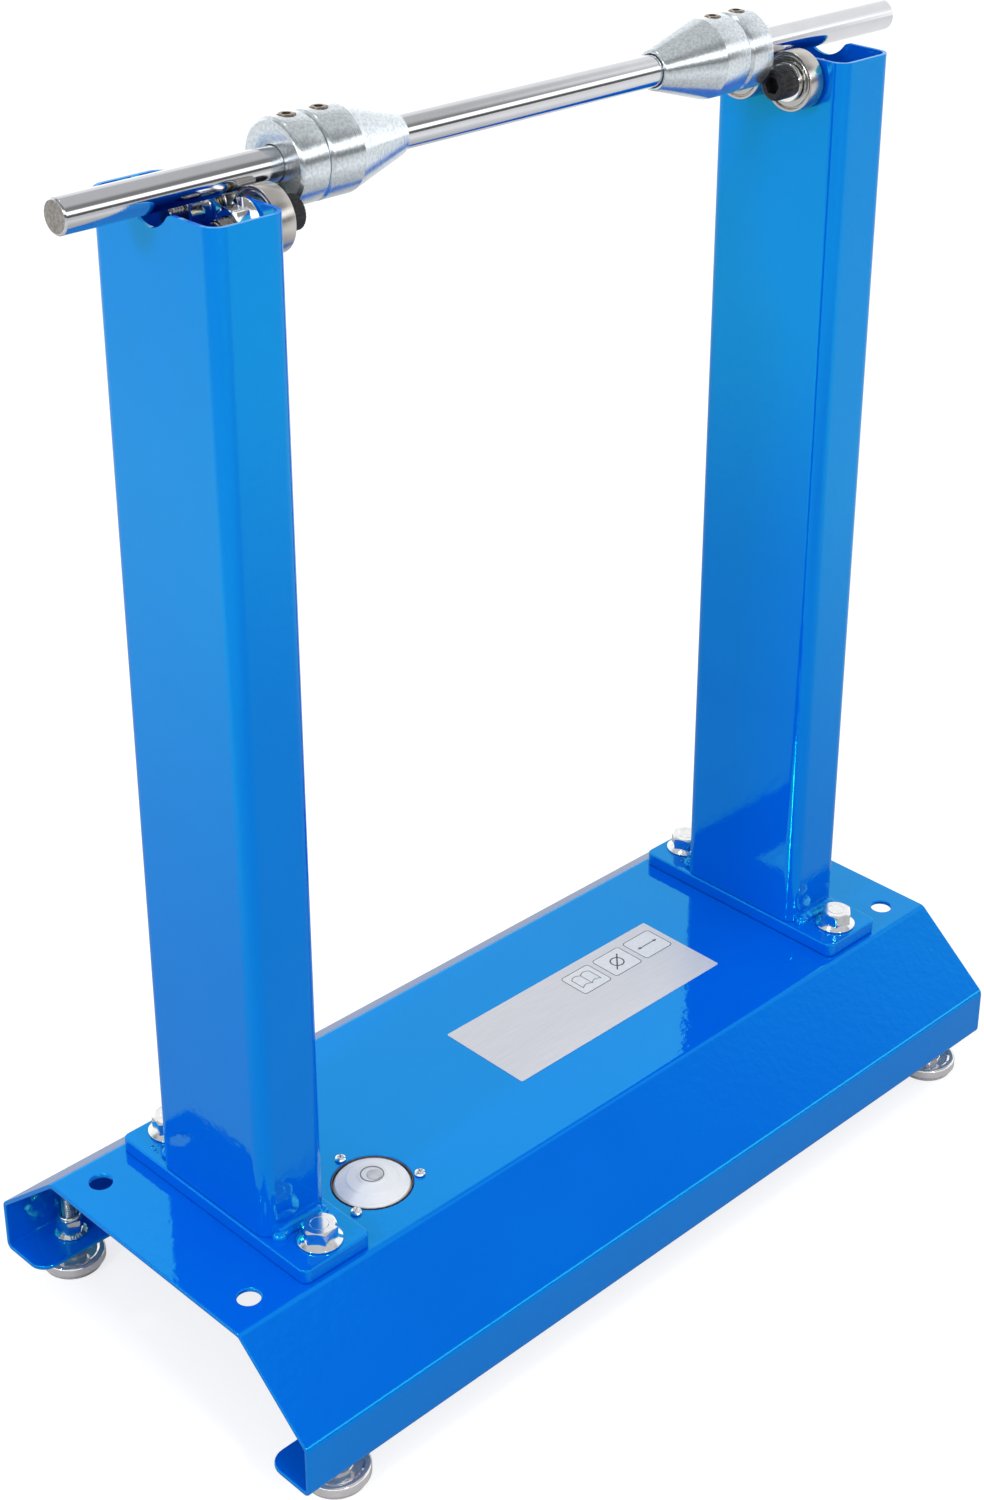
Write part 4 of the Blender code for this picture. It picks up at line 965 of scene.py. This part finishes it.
def build_welds(name, here):
    """The painted weld beads of one post, with the spatter beside them."""
    draws = random.Random(WELD_SEEDS[name])
    half = (POST_HIGH.x - POST_LOW.x) / 2 - POST_CORNER_RADIUS / 2
    count = WELD_RIPPLES * WELD_POINTS_PER_RIPPLE
    lumps = []
    for row in ROWS.values():
        y = row * (POST_HIGH.y + POST_PAST_CAD)
        points = []
        for index in range(count + 1):
            share = index / count
            ripple = WELD_RIPPLE_SHARE * abs(sin(pi * WELD_RIPPLES * share))
            swell = 1 + ripple + draws.uniform(-WELD_UNEVEN_SHARE, WELD_UNEVEN_SHARE)
            ends = min(1, WELD_END_SHARE + WELD_END_SLOPE * min(share, 1 - share))
            sway = WELD_SWAY * sin(WELD_SWAY_TURN * share + row)
            points.append((Vector((half * (2 * share - 1), y + sway, PLATE_TOP)), swell * ends))
        lumps.append(bead(points, WELD_RADIUS))
        for share, size in WELD_LUMPS:
            spot = (share * half, y + row * WELD_LUMP_FROM_POST, PLATE_TOP + WELD_LUMP_RISE)
            lumps.append(drop(spot, size, WELD_LUMP_HEIGHT_SHARE))
        for index in range(SPATTER):
            spot = (draws.uniform(-half, half), y + row * draws.uniform(*SPATTER_FROM_POST), PLATE_TOP)
            size = draws.uniform(*SPATTER_RADIUS)
            lumps.append(drop(spot, size, draws.uniform(*SPATTER_HEIGHT_SHARE)))
    add(name + "_painted_welds", joined([(lump, here) for lump in lumps]), PAINT)


def build_post_bolts():
    """The flange bolts of the foot plates with their nuts under the sheet."""
    seat, under = PLATE_TOP + SEAT_GAP, BASE_TOP - SHEET - SEAT_GAP
    end = under - M10_NUT_HEIGHT - BOLT_THREAD_PAST_NUT
    head = hexagon(M10_HEX, FLANGE_RIM, BOLT_HEAD_HEIGHT, BOLT_CROWN_SHARE * M10_HEX / 2)
    dish = lathe([(reach, BOLT_HEAD_HEIGHT + rise) for reach, rise in BOLT_DISH], ROUND_SIDES)
    skirt = flange(M10_FLANGE, M10_HEX)
    shank = thread(M10, M10_PITCH, end - seat, FLANGE_RIM)
    nut = flange_nut(M10_HEX, M10_NUT_HEIGHT, M10_FLANGE, M10)
    down = at(0, 0, under - seat) @ UPSIDE_DOWN
    for name, side, row in CORNERS:
        place, turn = middle(name + "_post_bolt"), twist("post_bolt", side, row)
        bolt = joined([(head, turn), (dish, turn), (skirt, UNMOVED), (shank, UNMOVED), (nut, down)])
        add(name + "_zinc_bolt", bolt, ZINC, name + "_post_bolt", at(place.x, place.y, seat))


def bearing_shields():
    """The two dished shields of a bearing."""
    slit, shoulder = INNER_SHOULDER / 2 + SEAT_GAP, OUTER_SHOULDER / 2
    face = BEARING_WIDTH / 2 - SHIELD_RECESS
    low, rim = face - SHIELD_DISH, shoulder + SHIELD_OVERLAP
    path = [(slit, low), (slit + SHIELD_STEP, face), (shoulder - SHIELD_STEP, face),
            (shoulder - SHIELD_STEP / 2, low), (rim, low), (rim, low - SHIELD_THICKNESS),
            (slit, low - SHIELD_THICKNESS)]
    shield = lathe(eased(path, SHIELD_EDGE, closed=True), closed=True)
    return joined([(shield, UNMOVED), (shield, UPSIDE_DOWN)])


def stepped_bush():
    """A bush whose flange stands on the post and whose sleeve fills the bearing."""
    bore, sleeve, rim = M10 / 2 + SEAT_GAP, BEARING_BORE / 2 - SEAT_GAP, BUSH_FLANGE / 2
    step, end = SEAT_GAP + BUSH_FLANGE_THICKNESS, RING_FROM_POST + BEARING_WIDTH
    path = [(bore, end), (sleeve, end), (sleeve, step), (rim, step), (rim, SEAT_GAP), (bore, SEAT_GAP)]
    return lathe(eased(path, FINE_EDGE, closed=True), ROUND_SIDES, closed=True)


def socketed(blank, top, width, depth):
    """A screw with a hexagon socket in its top."""
    return cut(blank, hexagon(width, top - depth, top + CUT_OVERRUN, width))


def build_bearings():
    """The bearings, with what holds them on the posts."""
    half = BEARING_WIDTH / 2
    washer_low = RING_FROM_POST + BEARING_WIDTH + SEAT_GAP
    washer_high = washer_low + WASHER_THICKNESS
    top, radius = washer_high + SOCKET_HEAD_HEIGHT, SOCKET_HEAD / 2
    head_path = [(0, top), (radius - SOCKET_HEAD_TAPER, top), (radius, top - SOCKET_HEAD_CHAMFER),
                 (radius, washer_high), (0, washer_high)]
    head = lathe(eased(head_path, SOCKET_HEAD_EDGE), KNURL_SIDES, knurl=KNURL_DEPTH)
    end = -(POST_WALL + SEAT_GAP + M10_NUT_HEIGHT + SCREW_THREAD_PAST_NUT)
    nut = flange_nut(M10_HEX, M10_NUT_HEIGHT, M10_FLANGE, M10)
    nut.transform(at(0, 0, -POST_WALL - SEAT_GAP) @ UPSIDE_DOWN)
    pieces = [
        ("ground_ring", ring(BEARING, OUTER_SHOULDER, -half, half, BEARING_EDGE), RING_STEEL, "bearing_steel",
         "outer_ring", "centred"),
        ("shields", bearing_shields(), SHIELD_STEEL, "bearing_steel", None, "centred"),
        ("ground_inner_ring", ring(INNER_SHOULDER, BEARING_BORE, -half, half, INNER_RING_EDGE), RING_STEEL,
         "bearing_steel", "inner_ring", "centred"),
        ("yellow_bush", stepped_bush(), YELLOW_ZINC, "yellow_zinc", "stepped_bush", "seated"),
        ("black_screw_head", socketed(head, top, SOCKET_WIDTH, SOCKET_DEPTH), BLACK_OXIDE, "black_oxide",
         "bearing_screw", "twisted"),
        # The thread is the screw's black oxide, lightened to grey as a painted glint
        ("screw_thread", thread(M10, M10_PITCH, end, washer_high - SEAT_GAP), SCREW_THREAD_GLINT_GREY, "black_oxide",
         None, "twisted"),
        ("zinc_washer", ring(WASHER, M10, washer_low, washer_high, WASHER_EDGE, ROUND_SIDES), ZINC,
         "bright_zinc", None, "seated"),
        ("zinc_nut", nut, ZINC, "bright_zinc", "bearing_nut", "twisted"),
    ]
    turning = ("ground_ring", "shields")
    for name, side, row in CORNERS:
        centre = middle(name + "_outer_ring")
        seat = towards_wheel(side, (side * POST_INNER_X, centre.y, centre.z))
        places = {"centred": towards_wheel(side, centre), "seated": seat,
                  "twisted": seat @ twist("bearing_screw", side, row)}
        for piece, mesh, material, slot, node, place in pieces:
            body = name + "_outer_ring" if piece in turning else "stand"
            add(f"{name}_{piece}", mesh.copy(), material, node and f"{name}_{node}", places[place],
                body)
        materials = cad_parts[name + "_ball_cage"].data.materials
        materials.clear()
        materials.append(BALL_STEEL)


def build_shaft():
    """The ground shaft with its sawn ends."""
    low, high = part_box("axle_shaft")
    half, radius = (high[0] - low[0]) / 2, AXLE / 2
    path = [(0, half), (radius - AXLE_CHAMFER, half), (radius, half - AXLE_CHAMFER),
            (radius, AXLE_CHAMFER - half), (radius - AXLE_CHAMFER, -half), (0, -half)]
    along = towards_wheel(-1, (0, 0, AXLE_Z))
    shaft = lathe(eased(path, FINE_EDGE))
    add("ground_shaft", shaft, SHAFT_STEEL, "axle_shaft", along, "axle")
    face = 2 * (radius - AXLE_CHAMFER - SAWN_END_MARGIN)
    sawn = pin(face, half - SAWN_END_DEPTH, half + SAWN_END_RISE, FINE_SIDES)
    ends = joined([(sawn, UNMOVED), (sawn, UPSIDE_DOWN)])
    add("sawn_shaft_ends", ends, SAWN_STEEL, None, along, "axle")


def build_clamps():
    """The cones and collars, each with its set screw."""
    bore, outer, tip = AXLE / 2 + SEAT_GAP, COLLAR / 2, CONE_TIP / 2
    ends = {"collar": lambda length: [(outer - COLLAR_CHAMFER, length), (outer, length - COLLAR_CHAMFER)],
            "cone": lambda length: [(tip - CONE_TIP_CHAMFER, length), (tip, length - CONE_TIP_CHAMFER),
                                    (outer, CONE_CYLINDER)]}
    high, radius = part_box("left_collar_screw")[1][2] - AXLE_Z, SET_SCREW / 2
    screw_path = [(0, high), (radius - SET_SCREW_CHAMFER, high), (radius, high - SET_SCREW_CHAMFER),
                  (radius, bore), (0, bore)]
    screw = socketed(lathe(eased(screw_path, FINE_EDGE), ROUND_SIDES), high, SET_SCREW_HEX, SET_SCREW_DEPTH)
    hole = clearance_hole(SET_SCREW, 0, outer + CUT_OVERRUN)
    for name, side in SIDES.items():
        for index, piece in enumerate(("collar", "cone")):
            node = f"{name}_{piece}"
            low_x, high_x = (corner[0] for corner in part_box(node))
            length = high_x - low_x
            path = [(bore, length), *ends[piece](length), (outer, COLLAR_CHAMFER),
                    (outer - COLLAR_CHAMFER, 0), (bore, 0)]
            about = towards_wheel(side, (low_x if side < 0 else high_x, 0, AXLE_Z))
            upright = at(middle(node + "_screw").x, 0, AXLE_Z)
            blank = lathe(eased(path, TURNED_EDGE, closed=True), closed=True)
            turned = cut(blank, joined([(hole, about.inverted() @ upright)]))
            add(f"{name}_turned_{piece}", turned, TURNED, node, about, node)
            add(f"{name}_bronzed_{piece}_screw", screw.copy(), BRONZED, node + "_screw",
                upright @ twist("set_screw", side, index), node + "_screw")


def level_screw_places():
    """Where the level's three screws stand."""
    radius = (LEVEL + LEVEL_FLANGE) / 4
    centre = Vector((LEVEL_PLACE.x, LEVEL_PLACE.y, 0))
    return [centre + radius * Vector((cos(turn), sin(turn), 0)) for turn in LEVEL_SCREW_TURNS]


def cross_screw():
    """A small pan-head screw with a cross recess, standing on zero."""
    path = [(reach * M3_HEAD / 2, rise * M3_HEAD_HEIGHT) for reach, rise in M3_HEAD_SHARES]
    blank = lathe(eased(path, M3_HEAD_EDGE, M3_HEAD_EDGE_STEPS), ROUND_SIDES)
    arm = rectangle(M3_CROSS_LENGTH, M3_CROSS_WIDTH, FINE_EDGE)
    bar = prism(arm, M3_CROSS_FLOOR_SHARE * M3_HEAD_HEIGHT, M3_HEAD_HEIGHT + CUT_OVERRUN)
    blank = cut(blank, bar)
    return cut(blank, joined([(bar, Matrix.Rotation(pi / 2, 4, "Z"))]))


def level_screws(flange_low):
    """The three cross-head screws that hold the level's flange under the sheet, as one mesh."""
    head = cross_screw()
    shank = thread(M3, M3_PITCH, flange_low - M3_THREAD_PAST_FLANGE, BASE_TOP + 2 * SEAT_GAP, COARSE_SIDES)
    screws = []
    for place in level_screw_places():
        turn = Matrix.Rotation(place.x * LEVEL_SCREW_TWIST_PER_X, 4, "Z")
        screws.append((head, at(place.x, place.y, BASE_TOP + SEAT_GAP) @ turn))
        screws.append((shank, at(place.x, place.y)))
    return joined(screws)


def build_level():
    """The bull's-eye level: housing, screws, lens, ring mark and bubble."""
    flange_top = BASE_TOP - SHEET - SEAT_GAP
    flange_low = flange_top - LEVEL_FLANGE_THICKNESS
    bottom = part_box("level_housing")[0][2]
    cone, lens = ([(reach, BASE_TOP + rise) for reach, rise in path] for path in (LEVEL_CONE, LENS))
    rim, radius, cone_top = LEVEL_FLANGE / 2, LEVEL / 2, cone[0][1]
    housing = [*cone, (cone[-1][0], flange_top), (rim, flange_top), (rim, flange_low), (radius, flange_low),
               (radius, bottom), (0, bottom)]
    bubble_top = cone_top + BUBBLE_HEIGHT
    bubble = [(0, bubble_top), (BUBBLE / 2, bubble_top), (BUBBLE / 2, cone_top), (0, cone_top)]
    here = at(LEVEL_PLACE.x, LEVEL_PLACE.y)
    aside = here @ Matrix.Translation(BUBBLE_OFF_CENTRE)
    pieces = [
        ("white_level_housing", lathe(eased(housing, LEVEL_ROUNDING, LEVEL_ROUNDING_STEPS)), LEVEL_WHITE,
         "level_white", "level_housing", here),
        # The dark ring is painted shade on the hole's far wall, seen above the white cone
        ("level_painted_shade_ring", ring(LEVEL, LEVEL - 2 * LEVEL_SHADE_RING_WALL, flange_top, BASE_TOP + LEVEL_SHADE_RING_EDGE,
                             LEVEL_SHADE_RING_EDGE), SHADE_RING_DARK, "black_oxide", None, here),
        ("level_cross_screws", level_screws(flange_low), ZINC, "bright_zinc", None, UNMOVED),
        ("clear_level_lens", lathe(eased(lens, LEVEL_ROUNDING, LEVEL_ROUNDING_STEPS)), LENS_CLEAR,
         "level_clear", "level_lens", here),
        ("level_ring_mark", ring(LEVEL_RING, LEVEL_RING - 2 * LEVEL_RING_LINE, cone_top,
                                 cone_top + LEVEL_RING_HEIGHT, LEVEL_RING_EDGE),
         INK_AND_SHADE_GREY, "level_clear", None, here),
        ("level_bubble", lathe(eased(bubble, BUBBLE_ROUNDING, BUBBLE_ROUNDING_STEPS), ROUND_SIDES),
         BUBBLE_CLEAR, "level_clear", None, aside),
        # Painted shade: a grey ring round the bubble for its dark rim
        ("level_bubble_painted_rim_shade", ring(BUBBLE, BUBBLE - LEVEL_RING_LINE, cone_top, cone_top + BUBBLE_RIM_SHADE_HEIGHT,
                                   LEVEL_RING_EDGE), INK_AND_SHADE_GREY, "level_clear", None, aside),
    ]
    for name, mesh, material, slot, node, place in pieces:
        mesh.transform(place)
        add(name, mesh, material, node)


def flat(outlines, low, high):
    """A flat shape with its outline first and then its holes, from one height to another."""
    curve = bpy.data.curves.new("flat", "CURVE")
    curve.dimensions = "2D"
    curve.fill_mode = "BOTH"
    curve.extrude = (high - low) / 2
    for outline in outlines:
        spline = curve.splines.new("POLY")
        spline.points.add(len(outline) - 1)
        spline.use_cyclic_u = True
        for point, (x, y) in zip(spline.points, outline):
            point.co = (x, y, 0, 1)
    mesh = evaluated(scratch(curve))
    mesh.transform(at(0, 0, (low + high) / 2))
    return mesh


def stroke(start, end, width=INK_LINE):
    """The outline of a straight ink line."""
    start, end = Vector(start), Vector(end)
    along = (end - start).normalized() * width / 2
    aside = Vector((-along.y, along.x))
    return [start - along - aside, end + along - aside, end + along + aside, start - along + aside]


def circle(diameter):
    """A round outline about the origin."""
    turns = [2 * pi * side / ROUND_SIDES for side in range(ROUND_SIDES)]
    return [(diameter / 2 * cos(turn), diameter / 2 * sin(turn)) for turn in turns]


def book_pictogram():
    """An open book, as separate outlines about the origin."""
    lines = [stroke((0, BOOK_HEIGHT / 2), (0, -BOOK_HEIGHT / 2))]
    for side in (-1, 1):
        shares = [step / BOOK_STEPS for step in range(BOOK_STEPS + 1)]
        upper = [(side * BOOK_PAGE * share, BOOK_HEIGHT / 2 + BOOK_RISE * sin(pi * share))
                 for share in shares]
        lower = [(x, y - BOOK_HEIGHT) for x, y in upper]
        for path in (upper, lower):
            lines += [stroke(start, end) for start, end in zip(path, path[1:])]
        lines.append(stroke(upper[-1], lower[-1]))
    return lines


def diameter_pictogram():
    """The slash of a crossed circle, the sign for a diameter, and the outlines of the circle's ring."""
    reach = SLASH_SHARE * CIRCLE_SIZE
    slash = [stroke((-reach, -reach), (reach, reach), 2 * INK_LINE)]
    return slash, [circle(CIRCLE_SIZE), circle(CIRCLE_SIZE - 4 * INK_LINE)]


def arrow_pictogram():
    """A double-headed arrow, the sign for a width."""
    neck, barb = ARROW_REACH - ARROW_HEAD, ARROW_BARB_SHARE * ARROW_HEAD
    lines = [stroke((-neck, 0), (neck, 0), ARROW_LINE)]
    for side in (-1, 1):
        lines.append([(side * ARROW_REACH, 0), (side * neck, barb), (side * neck, -barb)])
    return lines


def build_information_plate():
    """The silver plate on the base, bare but for three pictograms in boxes."""
    low, high = Vector(PLATE_LOW), Vector(PLATE_HIGH)
    top = BASE_TOP + PLATE_THICKNESS
    plate = prism(rectangle(*(high - low), PLATE_CORNER), BASE_TOP - PLATE_SINK, top)
    plate.transform(at(*(low + high) / 2))
    add("information_plate", softened(plate, PLATE_EDGE), PLATE_SILVER)
    length, depth = BOX_SIZE
    outline = rectangle(length, depth, BOX_CORNER, FOLD_STEPS)
    inset = rectangle(length - 2 * INK_LINE, depth - 2 * INK_LINE, BOX_CORNER - INK_LINE, FOLD_STEPS)
    slash, circles = diameter_pictogram()
    boxes, inks = [], []
    for index, signs in enumerate((book_pictogram(), slash, arrow_pictogram())):
        here = at(BOX_FIRST[0] + length / 2 + index * BOX_PITCH, BOX_FIRST[1] + depth / 2)
        boxes.append((flat([inset], top - INK / 2, top + INK / 2), here))
        inks.append((flat([outline, inset], top, top + INK), here))
        inks += [(prism(sign, top, top + INK), here) for sign in signs]
        if signs is slash:
            inks.append((flat(circles, top, top + INK), here))
    add("pictogram_boxes", joined(boxes), BOX_WHITE)
    add("pictogram_ink", joined(inks), INK_AND_SHADE_GREY)


def foot_cap():
    """The dished chrome cap of a foot, and the height of the hub that its stud stands on."""
    low, cap, dish, hub = PAD_RIM_HEIGHT + SEAT_GAP, CAP / 2, CAP_DISH / 2, CAP_HUB / 2
    top = low + CAP_HEIGHT
    dish_z, hub_z = top - CAP_DISH_DEPTH, top - CAP_DISH_DEPTH + CAP_HUB_HEIGHT
    recess, recess_z = PAD_SPIGOT / 2 + SEAT_GAP, low + PAD_SPIGOT_HEIGHT
    rim = corner_arc((dish, top), (cap, top), (cap, low), CAP_ROUNDING, CAP_ROUNDING_STEPS)
    path = [(0, hub_z), (M8 / 2, hub_z), (hub - CAP_HUB_CHAMFER, hub_z), (hub, hub_z - CAP_HUB_CHAMFER),
            (hub, dish_z), (dish - CAP_DISH_SLOPE, dish_z), (dish + CAP_DISH_SLOPE, top), *rim, (cap, low),
            (recess, low), (recess, recess_z), (0, recess_z)]
    return lathe(path), hub_z


def build_feet():
    """The feet with their pads and nuts."""
    cap, hub_z = foot_cap()
    stud = thread(M8, M8_PITCH, hub_z - STUD_IN_HUB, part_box("left_front_foot")[1][2])
    pad_top, spigot = PAD_RIM_HEIGHT + PAD_SPIGOT_HEIGHT, PAD_SPIGOT / 2
    pad_path = [(0, pad_top), (spigot, pad_top), (spigot, PAD_RIM_HEIGHT), (PAD_RIM / 2, PAD_RIM_HEIGHT),
                (PAD_RIM / 2, 0), (0, 0)]
    pad = lathe(eased(pad_path, PAD_EDGE))
    lower_nut = flange_nut(M8_HEX, M8_NUT_HEIGHT, M8_FLANGE, M8, NUT_TEETH)
    collar = ring(FOOT_NUT_COLLAR, M8 + 2 * SEAT_GAP, FOOT_NUT_HEX_HEIGHT - FOOT_NUT_COLLAR_DEPTH,
                  FOOT_NUT_HEIGHT, FOOT_NUT_COLLAR_EDGE, ROUND_SIDES)
    upper_nut = joined([(flange_nut(M8_HEX, FOOT_NUT_HEX_HEIGHT, M8_FLANGE, M8, NUT_TEETH), UNMOVED),
                        (collar, UNMOVED)])
    for name, side, row in CORNERS:
        foot, spot = name + "_foot", middle(name + "_foot")
        here, turn = at(spot.x, spot.y), twist("foot_nut", side, row)
        above = at(spot.x, spot.y, BASE_BOTTOM + SHEET + SEAT_GAP) @ turn
        below = at(spot.x, spot.y, BASE_BOTTOM - SEAT_GAP) @ UPSIDE_DOWN @ turn
        add(name + "_chrome_foot", cap.copy(), CHROME, foot, here, foot)
        add(name + "_foot_stud", stud.copy(), STUD_ZINC, None, here, foot)
        add(name + "_grey_pad", pad.copy(), PAD_GREY, foot + "_pad", here, foot)
        add(name + "_zinc_upper_nut", upper_nut.copy(), ZINC, foot + "_upper_nut", above)
        add(name + "_zinc_lower_nut", lower_nut.copy(), ZINC, foot + "_lower_nut", below)


# Stage

def pale_floor():
    """A matt floor, greyed by painted shade near the object and behind the camera, that looks white to the
    camera.
    """
    finish = Finish("pale_floor", (FLOOR_SEEN,) * 3, FLOOR_ROUGHNESS)
    distance = finish.vector_math("LENGTH", finish.place((1, FLOOR_DEPTH_SHARE, 0)))
    ahead = finish.vector_math("DOT_PRODUCT", finish.place(), AHEAD_FLAT)
    # Painted shade: the floor's colour is greyer near the object, where its shadow falls, as mirrors and
    # bounced light see it
    pale = finish.spread(distance, FLOOR_NEAR_REACH, FLOOR_FAR_REACH, FLOOR_PAINTED_SHADE_NEAR, FLOOR_FAR)
    # Painted shade: the floor's colour is darker towards and behind the camera
    painted_shade_behind = finish.spread(ahead, FLOOR_BEHIND_END, FLOOR_BEHIND_START, FLOOR_PAINTED_SHADE_BEHIND, 1)
    cloud = finish.spread(finish.noise(finish.place(), FLOOR_CLOUD_SCALE), 0, 1, FLOOR_CLOUD_LOW, 1)
    unseen = finish.math("MULTIPLY", finish.math("MULTIPLY", pale, painted_shade_behind), cloud)
    path = finish.node("LightPath").outputs
    mirrored = finish.math("MAXIMUM", path["Is Glossy Ray"], path["Is Transmission Ray"])
    glow = finish.math("MULTIPLY", mirrored, FLOOR_MIRROR_GLOW)
    glow = finish.math("MULTIPLY_ADD", path["Is Camera Ray"], FLOOR_GLOW, glow)
    color = finish.mix("RGBA", path["Is Camera Ray"], unseen, (*(FLOOR_SEEN,) * 3, 1))
    finish.set(finish.shader, Emission_Color=(1, 1, 1, 1))
    finish.feed((color, glow), [finish.shader.inputs[name] for name in ("Base Color", "Emission Strength")])
    return finish.material


def build_floor():
    """A plain pale floor."""
    reach = FLOOR_HALF_WIDTH
    mesh = prism([(-reach, -reach), (reach, -reach), (reach, reach), (-reach, reach)], -FLOOR_THICKNESS, 0)
    mesh.materials.append(pale_floor())
    floor = bpy.data.objects.new("floor", mesh)
    bpy.context.scene.collection.objects.link(floor)


def build_world():
    """The studio as mirrors show it, with a white background for the camera and a fill on matt surfaces."""
    world = bpy.data.worlds.new("white_surround")
    bpy.context.scene.world = world
    world.use_nodes = True
    sky = Nodes(world.node_tree)
    sky.tree.nodes.remove(sky.tree.nodes["Background"])

    def levels(height, stops):
        """Strength by the height of a direction."""
        brightest = max(level for position, level in stops)
        shades = [(position, (level / brightest,) * 3) for position, level in stops]
        return sky.math("MULTIPLY", sky.ramp(height, shades), brightest)

    def background(strength):
        """A white background of a strength."""
        shader = sky.node("Background", Color=(1, 1, 1, 1))
        sky.feed([strength], [shader.inputs["Strength"]])
        return shader.outputs["Background"]

    direction = sky.node("TexCoord").outputs["Generated"]
    height = sky.split(direction)[2]
    ahead = sky.vector_math("DOT_PRODUCT", direction, AHEAD_FLAT)
    share = sky.spread(ahead, BEHIND_END, BACKDROP_START, 0, 1)
    studio = background(sky.mix("FLOAT", share, levels(height, ROOM), levels(height, BACKDROP)))
    path = sky.node("LightPath").outputs
    shown = sky.mix_shaders(path["Is Camera Ray"], studio, background(1))
    shown = sky.mix_shaders(path["Is Diffuse Ray"], shown, background(MATT_FILL))
    sky.link(shown, sky.tree.nodes["World Output"].inputs["Surface"])


def build_lights():
    """Square soft studio lights, each facing a point."""
    for name, (place, target, energy) in LIGHTS.items():
        data = bpy.data.lights.new(name, "AREA")
        data.shape = "RECTANGLE"
        data.size, data.size_y = LIGHT_SIZE, LIGHT_SIZE
        data.energy = energy
        light = bpy.data.objects.new(name, data)
        bpy.context.scene.collection.objects.link(light)
        light.location = place
        light.rotation_euler = (Vector(target) - Vector(place)).to_track_quat("-Z", "Y").to_euler()


def build_camera():
    """The camera at the photograph's place."""
    data = bpy.data.cameras.new("photo_view")
    data.sensor_width = CAMERA_SENSOR
    data.lens = CAMERA_LENS
    data.shift_x, data.shift_y = CAMERA_SHIFT
    camera = bpy.data.objects.new("photo_view", data)
    bpy.context.scene.collection.objects.link(camera)
    turn = Matrix((CAMERA_RIGHT, -CAMERA_DOWN, -CAMERA_AHEAD)).transposed().to_4x4()
    camera.matrix_world = Matrix.Translation(CAMERA_PLACE) @ turn
    bpy.context.scene.camera = camera


bpy.context.scene.view_settings.view_transform = "Standard"
build_base()
build_posts()
build_post_bolts()
build_bearings()
build_shaft()
build_clamps()
build_level()
build_information_plate()
build_feet()
build_floor()
build_world()
build_lights()
build_camera()
